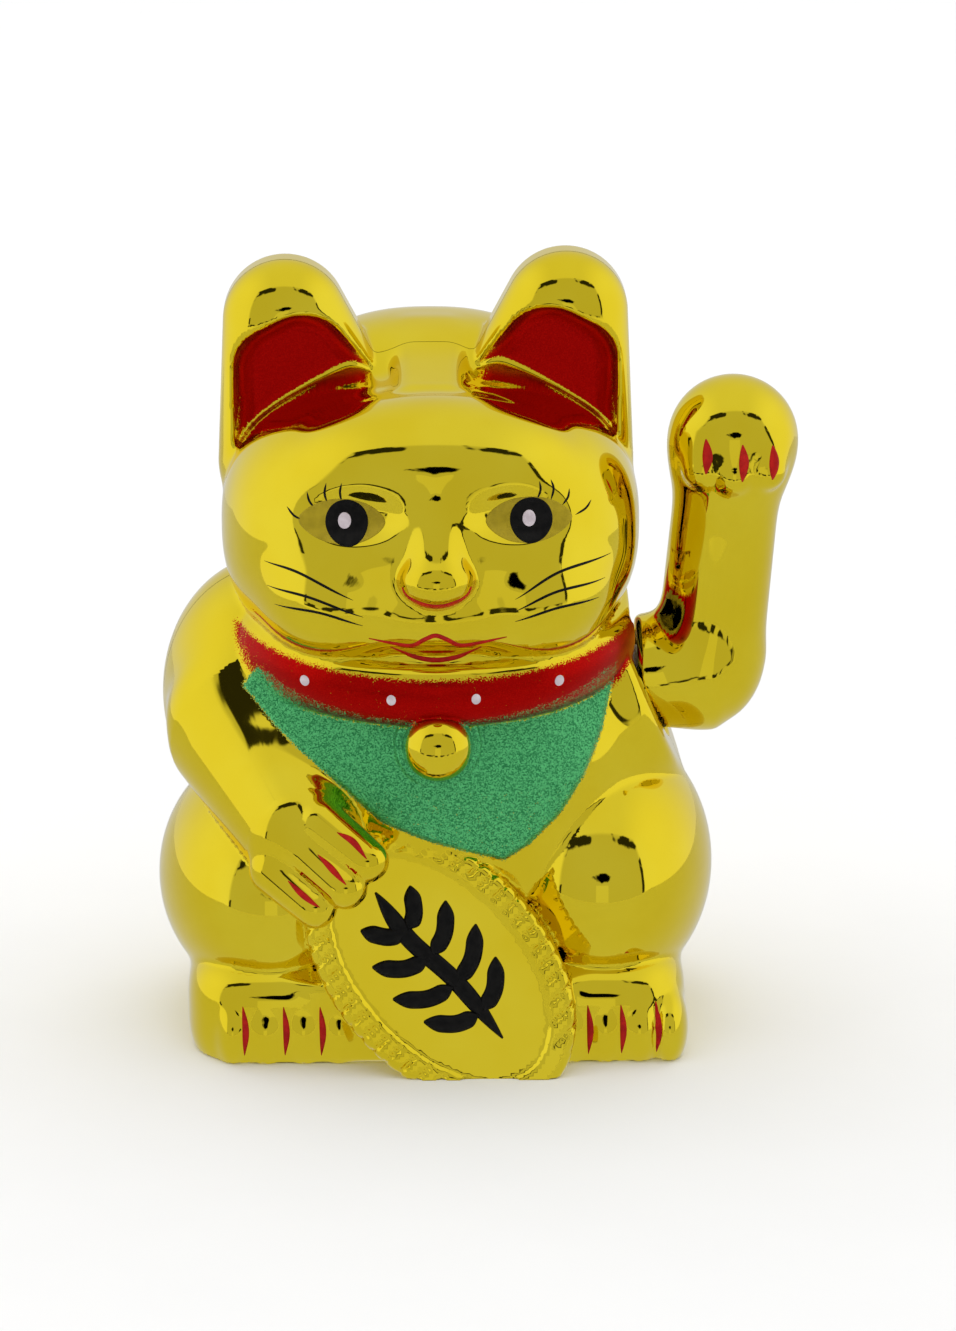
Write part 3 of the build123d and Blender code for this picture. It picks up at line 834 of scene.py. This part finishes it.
# %% [markdown]
# A brush stroke is a line with a width that swells and tapers. The line runs smoothly through a few corners,
# and seven lanes of points are laid along it: five across the rounded top and two along the underside.

# %% Brush strokes
def smooth_line(corners, spacing=0.45):
    """A smooth line through a few corners, at even steps."""
    c = np.asarray(corners, dtype=float)
    c = np.vstack([2 * c[0] - c[1], c, 2 * c[-1] - c[-2]])
    out = []
    for a, b, d, e in zip(c, c[1:], c[2:], c[3:]):
        count = max(int(np.linalg.norm(d - b) / spacing), 2)
        t = np.linspace(0, 1, count, endpoint=False)[:, None]
        bend, twist = 2 * a - 5 * b + 4 * d - e, 3 * b - a - 3 * d + e
        out.append(0.5 * (2 * b + (d - a) * t + bend * t**2 + twist * t**3))
    return np.vstack([*out, c[-2:-1]])


def stroke(corners, width, ends=(0.35, 0.35), height=FILM):
    """One brush stroke with tapering ends, as (flat points, heights, faces)."""
    line = smooth_line(corners)
    along = np.gradient(line, axis=0)
    along /= np.linalg.norm(along, axis=1, keepdims=True)
    side = np.column_stack([-along[:, 1], along[:, 0]])
    t = np.linspace(0, 1, len(line))
    half = 0.5 * width * (0.12 + 0.88 * np.sqrt(ease(t / ends[0]) * ease((1 - t) / ends[1])))
    lanes = (-1.0, -0.6, 0.0, 0.6, 1.0, 1.0, -1.0)
    flat = np.vstack([line + side * (half * lane)[:, None] for lane in lanes])
    rises = [height * (1 - 0.75 * lane * lane) for lane in lanes[:5]] + [SUNK, SUNK]
    n, m = len(line), len(lanes)
    faces = [(r * n + i, ((r + 1) % m) * n + i, ((r + 1) % m) * n + i + 1, r * n + i + 1)
             for r in range(m) for i in range(n - 1)]
    faces += [tuple(r * n for r in reversed(range(m))), tuple(r * n + n - 1 for r in range(m))]
    return flat, np.repeat(rises, n), faces


print("points in a stroke 10 mm long:", len(stroke([(0, 0), (5, 0), (10, 0)], 1.0)[0]))

# %% [markdown]
# A patch is a filled shape. Rings of points run out from the centre underneath, round the edge and back in
# on top. Both sides need them: a flat underside would cut through a curved cheek and show in front of it.

# %% Patches
def patch(outline, height=FILM, count=44):
    """A filled shape as (flat points, heights, faces), from a function that gives its edge."""
    edge = outline(np.linspace(0, 2 * math.pi, count, endpoint=False))
    centre = edge.mean(axis=0)
    under = [(0.06 * k, SUNK) for k in range(1, 16)] + [(1.0, SUNK)]
    rings = under + [(1.0, height * 0.5), (0.96, height)] + [(0.06 * k, height) for k in range(15, 0, -1)]
    flat = np.vstack([centre + (edge - centre) * share for share, _ in rings])
    faces = []
    for start in range(0, (len(rings) - 1) * count, count):
        for i in range(count):
            j = (i + 1) % count
            faces.append((start + i, start + j, start + count + j, start + count + i))
    last = (len(rings) - 1) * count
    faces += [tuple(range(last, last + count)), tuple(reversed(range(count)))]
    return flat, np.repeat([rise for _, rise in rings], count), faces


def oval(centre, half, tip=0.0):
    """An oval outline; a tip above 0 draws its two ends out to points."""
    def outline(angle):
        c, s = np.cos(angle), np.sin(angle)
        drawn_in = 1 - tip * np.abs(c) ** 3
        return np.column_stack([centre[0] + half[0] * c, centre[1] + half[1] * s * drawn_in])
    return outline


print("points in a patch:", len(patch(oval((0, 0), (1, 1)))[0]))

# %% [markdown]
# All the strokes and patches of one colour become one piece, dropped together. The piece rides with the
# shell under it, so the claws on the raised arm wave with it.

# %% Painted pieces
def film(name, parts, skin, field=cat_outside, place=from_front, rides="body"):
    """One painted piece made of strokes and patches."""
    faces, count = [], 0
    for flat, _, some_faces in parts:
        faces += [tuple(i + count for i in face) for face in some_faces]
        count += len(flat)
    points = place(np.vstack([part[0] for part in parts]), field)
    points = lifted(points, field, np.concatenate([part[1] for part in parts]))
    mesh = bpy.data.meshes.new(name)
    mesh.from_pydata((points * MM).tolist(), [], faces)
    bm = bmesh.new()
    bm.from_mesh(mesh)
    bmesh.ops.recalc_face_normals(bm, faces=bm.faces[:])
    bm.to_mesh(mesh)
    bm.free()
    mesh.polygons.foreach_set("use_smooth", np.ones(len(mesh.polygons), bool))
    mesh.materials.append(skin)
    piece = bpy.data.objects.new(name, mesh)
    bpy.context.scene.collection.objects.link(piece)
    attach(piece, rides)
    print(name, len(mesh.polygons), "faces")
    return piece


print("film() makes one piece from many strokes")


# %% [markdown]
# Brushed enamel is slightly uneven in colour and gloss, and dries with a faint ripple. The olive of the
# eyes is a thin wash of paint, so a little of the metal shows through it.

# %% Enamels
def enamel(name, dark, light, roughness, sheen_level):
    """A brushed enamel."""
    return material(name, lambda s: {
        "Base Color": s.mix(s.noise(s.place(), 700.0, 2.0).ramp(0.3, 0.7), dark, light),
        "Roughness": roughness + s.noise(s.place(), 350.0, 2.0) * 0.1, "Specular IOR Level": sheen_level,
        "Normal": s.bump(0.3, 0.00005, s.noise(s.place(), 900.0))})


black_paint = enamel("black_paint", (0.002, 0.002, 0.002), (0.006, 0.0055, 0.005), 0.30, 0.12)
red_paint = enamel("red_paint", (0.36, 0.004, 0.003), (0.50, 0.010, 0.006), 0.35, 0.15)
white_paint = enamel("white_paint", (0.58, 0.50, 0.54), (0.72, 0.64, 0.68), 0.35, 0.3)
olive_paint = material("olive_paint", lambda s: {
    "Base Color": s.mix(s.noise(s.place(), 500.0).ramp(0.3, 0.7), (0.36, 0.27, 0.012), (0.44, 0.33, 0.016)),
    "Specular IOR Level": 0.15, "Metallic": 0.15, "Roughness": 0.32 + s.noise(s.place(), 900.0) * 0.1})
print("enamels:", [m.name for m in (black_paint, red_paint, white_paint, olive_paint)])

# %% [markdown]
# ## The face
#
# The eyes are printed in three layers: a dark almond, a round black pupil and a white light. Whiskers and
# lashes are single quick strokes. The nose is lined in red. The red lines at the lips are a painted
# reflection of the red collar in the mouth's relief.

# %% Eyes, lashes, whiskers, nose, and the collar's painted reflection at the lips
EYES = [(-17.1, 104.6, 7.9, 3.9), (16.9, 104.8, 7.9, 4.0)]
PUPILS = [(-16.2, 104.4), (17.3, 104.7)]
LASHES = [[(-27.1, 106.6), (-25.8, 105.2), (-24.2, 104.6)], [(-23.4, 109.6), (-23.0, 108.0), (-21.9, 106.6)],
          [(-19.9, 111.4), (-20.2, 109.5), (-19.7, 107.6)], [(-17.1, 111.6), (-17.4, 109.8), (-17.1, 107.8)],
          [(18.8, 111.6), (19.0, 110.0), (18.4, 108.2)], [(20.9, 111.6), (21.4, 110.0), (20.9, 108.0)],
          [(24.3, 109.6), (24.1, 108.3), (23.0, 107.0)], [(28.4, 107.0), (27.4, 105.8), (25.4, 105.0)]]
WHISKERS = [[(-31.4, 95.9), (-24.6, 95.0), (-15.1, 91.0)], [(-30.9, 91.6), (-22.8, 91.0), (-13.3, 87.8)],
            [(-29.5, 88.5), (-21.3, 88.4), (-13.4, 86.1)], [(32.2, 96.4), (22.3, 95.3), (14.3, 91.0)],
            [(31.0, 92.5), (21.9, 92.0), (14.3, 88.8)], [(29.8, 89.4), (21.9, 89.0), (14.3, 86.8)]]
NOSE_LINE = [(-6.2, 94.0), (-5.4, 92.4), (-3.1, 91.2), (0.1, 90.6), (3.3, 91.2), (5.5, 92.3), (6.3, 94.0)]
# The two red lines at the lips are a painted reflection of the red collar, laid on as red strokes.
LIP_COLLAR_REFLECTION = [[(-12.3, 83.4), (-8.6, 82.4), (-4.6, 81.9), (-2.2, 83.4), (-0.2, 84.3), (1.9, 83.4),
              (4.4, 81.9), (8.4, 82.4), (12.8, 83.6)],
             [(-8.4, 81.4), (-4.6, 79.4), (-0.2, 78.6), (4.4, 79.3), (8.2, 81.3)]]


def strokes(lines, width, **how):
    """Several strokes of one width."""
    return [stroke(line, width, **how) for line in lines]


film("eye_almonds", [patch(oval((x, z), (w, h), 0.25)) for x, z, w, h in EYES], olive_paint)
film("pupils", [patch(oval(at, (3.9, 4.0)), 0.15) for at in PUPILS], black_paint)
film("eye_lights", [patch(oval((x - 0.4, z + 0.2), (1.2, 1.5)), 0.23) for x, z in PUPILS], white_paint)
film("eyelashes", strokes(LASHES, 0.42), black_paint)
film("whiskers", strokes(WHISKERS, 0.5), black_paint)
film("nose_line", strokes([NOSE_LINE], 1.25, height=0.14), red_paint)
# Painted reflection: red strokes that stand in for the red collar mirrored in the mouth's relief.
film("lips_painted_collar_reflection", strokes(LIP_COLLAR_REFLECTION, 0.9, height=0.14), red_paint)

# %% [markdown]
# ## Claws and dots
#
# Claws are short red leaf-shaped strokes between the fingers and toes. Four pale dots sit on the collar.

# %% Claws and collar dots
DOTS = [(-24.2, 73.8), (-8.3, 72.0), (7.2, 72.2), (22.6, 73.9)]
PAW_CLAWS = [[(-18.3, 48.0), (-15.4, 46.6), (-12.9, 44.0)], [(-21.9, 43.7), (-19.6, 41.8), (-16.7, 39.2)],
             [(-27.4, 38.4), (-24.8, 36.4), (-21.6, 34.4)]]
ARM_CLAWS = [[(50.2, 114.9), (50.5, 111.6), (50.2, 108.4)], [(56.9, 114.1), (57.2, 110.6), (56.9, 107.2)],
             [(62.6, 113.6), (62.9, 110.5), (62.6, 107.3)]]
film("collar_dots", [patch(oval(at, (0.85, 1.0))) for at in DOTS], white_paint)
film("paw_claws", strokes(PAW_CLAWS, 1.1, ends=(0.5, 0.5), height=0.3), red_paint)
foot_claws = [[(x - 0.3, 11.4), (x + 0.2, 6.8), (x - 0.1, 1.9)] for x in CLAWS]
film("foot_claws", strokes(foot_claws, 1.25, ends=(0.5, 0.5), height=0.25), red_paint)
film("arm_claws", strokes(ARM_CLAWS, 1.9, ends=(0.5, 0.5)), red_paint, arm_outside, rides="arm")

# %% [markdown]
# ## The coin's ornament
#
# The real coin carries raised black characters. Here a stem with paired leaves takes their place. It is laid
# in the coin's own plane and stands up from its sunken field.

# %% Coin ornament
COIN_LEAN, COIN_TWIST = (Matrix.Rotation(math.radians(degrees), 3, axis) for axis, degrees in COIN_TURNS)
COIN_AXES = np.array(COIN_LEAN @ COIN_TWIST)


def on_coin(flat, field):
    """Points on the coin behind (across, along) pairs in its own plane."""
    flat = np.asarray(flat, dtype=float)
    local = np.column_stack([flat[:, 0], np.full(len(flat), -9.0), flat[:, 1]])
    return drop(np.array(COIN_AT) + local @ COIN_AXES.T, COIN_AXES[:, 1], field)


ORNAMENT = [[(0.6, 18.5), (-0.6, 8), (0.5, -4), (-0.2, -17.5)]]
for height, reach in ((12.5, 6.2), (6.0, 9.2), (-1.0, 10.4), (-8.0, 9.0)):
    for side in (-1, 1):
        bend = (side * reach * 0.55, height - 1.6)
        ORNAMENT.append([(side * 0.6, height - 3.2), bend, (side * reach, height + 2.6)])
raised = strokes(ORNAMENT, 3.3, ends=(0.22, 0.3), height=0.75)
film("coin_ornament", raised, black_paint, place=on_coin)

# %% [markdown]
# ## Plastics
#
# The base, the battery door and the movement are cheap injection mouldings. A moulding is never quite one
# colour, and its skin carries the fine spark texture of the mould, so each gets cloudy colour and a bump.

# %% Moulded plastics
def moulded(name, dark, light, roughness, texture):
    """A moulded plastic with cloudy colour and a spark-eroded skin."""
    def build(s):
        skin = s.noise(s.place(), texture, 3.0)
        cloud = s.noise(s.place(), 60.0, 3.0).ramp(0.3, 0.7)
        return {"Base Color": s.mix(cloud, dark, light), "Roughness": roughness + skin * 0.15,
                "Normal": s.bump(0.5, 0.00008, skin)}
    return material(name, build)


PLASTICS = {
    "white_plastic": ((0.60, 0.59, 0.54), (0.72, 0.71, 0.66), 0.32, 900.0),
    "dark_plastic": ((0.02, 0.02, 0.022), (0.035, 0.035, 0.038), 0.38, 1200.0),
    "black_plastic": ((0.010, 0.010, 0.010), (0.022, 0.022, 0.022), 0.42, 1800.0),
    "component_black": ((0.012, 0.012, 0.013), (0.022, 0.022, 0.022), 0.5, 2500.0),
    "red_insulation": ((0.42, 0.012, 0.01), (0.55, 0.02, 0.016), 0.4, 2000.0),
    "black_insulation": ((0.012, 0.012, 0.012), (0.025, 0.025, 0.025), 0.4, 2000.0),
}
finishes = {name: moulded(name, *look) for name, look in PLASTICS.items()}
print("plastics:", sorted(PLASTICS))

# %% [markdown]
# ## Metals
#
# The axle is ground, the weight and screws are zinc plated, the contacts are nickel. Drawn and ground metals
# show fine streaks along one direction, which a stretched noise gives. Plated ones show soft blooms.

# %% Metals
def metal(name, dark, light, roughness, stretch=(1.0, 1.0, 1.0), scale=500.0):
    """A metal with streaks, stretched along an axis by a small factor there, and uneven gloss."""
    def build(s):
        place = s.node("ShaderNodeMapping", None, {"Vector": s.place(), "Scale": stretch})
        streak = s.noise(place, scale, 4.0, 0.6)
        bloom = s.noise(s.place(), 160.0, 2.0).ramp(0.35, 0.75)
        return {"Base Color": s.mix(bloom, dark, light), "Metallic": 1.0,
                "Roughness": roughness + streak * 0.16, "Normal": s.bump(0.35, 0.00004, streak)}
    return material(name, build)


METALS = {
    "bright_steel": ((0.52, 0.52, 0.53), (0.62, 0.62, 0.63), 0.14, (0.05, 1.0, 1.0), 1500.0),
    "spring_steel": ((0.20, 0.20, 0.21), (0.30, 0.30, 0.31), 0.35),
    "nickelled_magnet": ((0.58, 0.57, 0.55), (0.68, 0.67, 0.64), 0.10),
    "zinc_steel": ((0.40, 0.42, 0.44), (0.55, 0.56, 0.58), 0.28, (1.0, 1.0, 1.0), 250.0),
    "screw_steel": ((0.36, 0.36, 0.37), (0.50, 0.50, 0.50), 0.25, (1.0, 1.0, 0.1), 1200.0),
    "nickel_contact": ((0.55, 0.53, 0.49), (0.66, 0.64, 0.60), 0.18, (1.0, 0.08, 1.0), 1200.0),
}
finishes.update({name: metal(name, *look) for name, look in METALS.items()})
print("metals:", sorted(METALS))

# %% [markdown]
# ## Wire, board and components
#
# The winding is hundreds of turns of hair-fine enamelled wire, so its finish is a ripple along the bobbin's
# axis. The board is brown phenolic paper, and the resistor is known by its coloured bands.

# %% Wire and board
def wound(s, spacing):
    """Copper wire wound round an upright bobbin."""
    turn = (s.part(s.place(), 2) * (2 * math.pi / spacing)).do("SINE") * 0.5 + 0.5
    return {"Base Color": s.mix(turn, (0.28, 0.07, 0.02), (0.62, 0.25, 0.09)), "Metallic": 0.9,
            "Roughness": 0.25 + turn * 0.08, "Normal": s.bump(0.8, 0.00006, turn)}


def laminate(s):
    """Brown phenolic paper, with its fibres."""
    stretched = s.node("ShaderNodeMapping", None, {"Vector": s.place(), "Scale": (1.0, 0.15, 1.0)})
    fibre = s.noise(stretched, 700.0, 4.0)
    return {"Base Color": s.mix(fibre.ramp(0.3, 0.7), (0.24, 0.13, 0.045), (0.36, 0.22, 0.08)),
            "Roughness": 0.4 + fibre * 0.15}


finishes["copper_winding"] = material("copper_winding", lambda s: wound(s, 0.00022))
finishes["enamelled_copper"] = material("enamelled_copper", lambda s: wound(s, 0.004))
finishes["board_laminate"] = material("board_laminate", laminate)
print("winding, leads and board are finished")

# %% [markdown]
# Small parts are told apart by their bands: the resistor's code, the stripe on the capacitor, the coppery
# end of the cell. A band is a stretch along the part's own longest side, found from its measured box.

# %% Bands and sleeves
def along(s, node, axis):
    """0 to 1 along a node's box, from end to end."""
    ends = [v[axis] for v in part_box(node)]
    return (s.part(s.place(), axis) - ends[0]) * (1.0 / (ends[1] - ends[0]))


def long_axis(node):
    """The axis that a node is longest on."""
    lo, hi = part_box(node)
    return max(range(3), key=lambda i: hi[i] - lo[i])


def banded(s, node, ground, bands, roughness, metallic=0.0):
    """A body with coloured bands, each given as (start, end, colour) along it."""
    t = along(s, node, long_axis(node))
    colour = s.mix(s.noise(s.place(), 300.0).ramp(0.3, 0.7), ground, tuple(v * 1.15 for v in ground))
    for start, end, paint in bands:
        inside = t.ramp(start, start + 0.01) * (1.0 - t.ramp(end, end + 0.01))
        colour = s.mix(inside, colour, paint)
    return {"Base Color": colour, "Metallic": metallic,
            "Roughness": roughness + s.noise(s.place(), 500.0) * 0.1}


STEEL_END = (0.55, 0.54, 0.52)
RESISTOR_BANDS = [(0.34, 0.39, (0.10, 0.03, 0.01)), (0.44, 0.49, (0.01, 0.01, 0.01)),
                  (0.54, 0.59, (0.55, 0.12, 0.01)), (0.66, 0.71, (0.50, 0.33, 0.08))]
CELL_BANDS = [(0.0, 0.03, STEEL_END), (0.68, 0.95, (0.50, 0.24, 0.07)), (0.95, 1.0, STEEL_END)]
BANDED = {
    "resistor_body": ("resistor", (0.52, 0.38, 0.22), RESISTOR_BANDS, 0.3),
    "capacitor_sleeve": ("capacitor", (0.012, 0.02, 0.10), [(0.88, 1.0, (0.45, 0.45, 0.46))], 0.25),
    "cell_jacket": ("battery_cell", (0.020, 0.022, 0.026), CELL_BANDS, 0.25, 0.6),
}
for name, look in BANDED.items():
    finishes[name] = material(name, lambda s: banded(s, *look))
print("banded parts:", sorted(BANDED))

# %% [markdown]
# Each measured part keeps its mesh and gets the finish that the record names for it.

# %% Finishes on the measured parts
slot_of = {row["node"]: row["material_slot"] for row in RECORD["subparts"]}
for node, piece in frame["nodes"].items():
    finish = finishes.get(slot_of[node])
    if finish:
        piece.data.materials.clear()
        piece.data.materials.append(finish)
print("finishes on carried-over nodes:", sorted(set(slot_of.values()) & set(finishes)))

# %% [markdown]
# ## The white tent
#
# The cat was made to be seen in a tent of white cloth, open towards the viewer. A mirror finish shows the
# tent, so the tent is built as the surroundings: bright cloth all round, a duller opening in front with a
# broken dark edge, and a dark mark in the middle of it where the camera would be.

# %% The tent
def build_tent(world):
    """Cloth, opening, its dark edge and the camera's mark, by direction."""
    s = Sheet(world)
    ray = s.node("ShaderNodeTexCoord", None, None, 0)
    x, y, z = (s.part(ray, axis) for axis in range(3))
    ahead = (-y).do("MAXIMUM", 0.0001)
    across, up = x / ahead, z / ahead
    wobble = (s.noise(ray, 9.0, 4.0) - 0.5) * 0.12
    side_gap = 1.7 - across.do("ABSOLUTE")
    top_gap, bottom_gap = 1.75 - up, up + 0.42
    inside = side_gap.do("MINIMUM", top_gap).do("MINIMUM", bottom_gap)
    front = (-y).ramp(0.0, 0.02)
    opening = inside.ramp(-0.06, 0.22) * front
    rim = side_gap.do("MINIMUM", bottom_gap * 1.3).do("MINIMUM", top_gap * 0.4)
    broken = s.noise(ray, 3.2, 2.0).ramp(0.47, 0.53)
    rim = rim + wobble
    edge = rim.ramp(0.0, 0.03) * (1.0 - rim.ramp(0.20, 0.25)) * front * broken
    blot = ((across * across) * 0.16 + (up - 0.30) * (up - 0.30)).do("SQRT")
    camera_mark = 1.0 - (blot + wobble * 0.9).ramp(0.07, 0.10)
    card = (0.16 - across.do("ABSOLUTE")).ramp(0.0, 0.01) * (0.16 - up).ramp(0.0, 0.01)
    cloth = 0.70 + 0.26 * (x.do("ABSOLUTE")).ramp(0.3, 1.0) + 0.10 * z.ramp(0.2, 1.0)
    room = 0.58 + 0.13 * card
    dark = (edge * 0.96 + camera_mark * front).do("MINIMUM", 1.0)
    level = (cloth * (1.0 - opening) + room * opening) * (1.0 - dark)
    glow = s.node("ShaderNodeBackground", None, {"Color": (1.0, 1.0, 1.0, 1.0), "Strength": level})
    out = s.tree.nodes.new("ShaderNodeOutputWorld")
    s.tree.links.new(glow.socket, out.inputs["Surface"])


scene = bpy.context.scene
scene.world = bpy.data.worlds.new("tent")
build_tent(scene.world)
scene.view_settings.view_transform = "Standard"
print("tent built with", len(scene.world.node_tree.nodes), "nodes")

# %% [markdown]
# ## Floor and lamp
#
# The floor is a pale sheet. The mirror finish must not show its far edge, so the camera sees one large sheet
# and the reflections see a small one. One soft lamp overhead washes the sheet white, and stays out of the
# reflections.

# %% Floor and lamp
def sheet(name, lowest, highest, height, skin):
    """A flat rectangle between two corners, at a height."""
    (x0, y0), (x1, y1) = lowest, highest
    corners = [(x0, y0, height), (x1, y0, height), (x1, y1, height), (x0, y1, height)]
    mesh = bpy.data.meshes.new(name)
    mesh.from_pydata(corners, [], [(0, 1, 2, 3)])
    made = bpy.data.objects.new(name, mesh)
    made.data.materials.append(skin)
    scene.collection.objects.link(made)
    return made


cloth_skin = material("tent_floor", lambda s: {
    "Base Color": s.mix(s.noise(s.place(), 30.0, 3.0), (0.90, 0.90, 0.90), (0.93, 0.93, 0.93)),
    "Roughness": 0.9})
floor = sheet("floor_seen", (-3.0, -3.0), (3.0, 3.0), 0, cloth_skin)
floor.visible_glossy = False
near_floor = sheet("floor_reflected", (-0.5, -0.22), (0.5, 0.5), -0.0002, cloth_skin)
near_floor.visible_camera = False
near_floor.visible_diffuse = False
near_floor.visible_shadow = False

sheet_of_light = bpy.data.lights.new("soft_top", "AREA")
sheet_of_light.shape = "SQUARE"
sheet_of_light.size = 4.0
sheet_of_light.energy = 34.0
lamp = bpy.data.objects.new("soft_top", sheet_of_light)
lamp.location = (0.0, 0.6, 2.0)
lamp.visible_glossy = False
scene.collection.objects.link(lamp)
print("two floor sheets and one soft lamp of", sheet_of_light.energy, "W")

# %% [markdown]
# ## Camera
#
# The camera looks slightly down at the cat from just left of its front. It stands well back, so the lens is
# long and the cat's base stays nearly parallel.

# %% Camera
CAMERA_TURN, CAMERA_RISE, CAMERA_AWAY = -1.0, 16.0, 0.9
FRAME_HEIGHT = 0.2535
SENSOR = 24.0
aim = Vector((8.2, 0, 67.7)) * MM
turn, rise = math.radians(CAMERA_TURN), math.radians(CAMERA_RISE)
back = Vector((math.sin(turn) * math.cos(rise), -math.cos(turn) * math.cos(rise), math.sin(rise)))
lens = bpy.data.cameras.new("camera")
lens.sensor_fit = "VERTICAL"
lens.sensor_height = SENSOR
lens.lens = SENSOR * CAMERA_AWAY / (FRAME_HEIGHT * MM * 1000)
camera = bpy.data.objects.new("camera", lens)
camera.location = aim + back * CAMERA_AWAY
camera.rotation_euler = back.to_track_quat("Z", "Y").to_euler()
scene.collection.objects.link(camera)
scene.camera = camera
print("lens", round(lens.lens, 1), "mm, at", [round(v, 3) for v in camera.location])
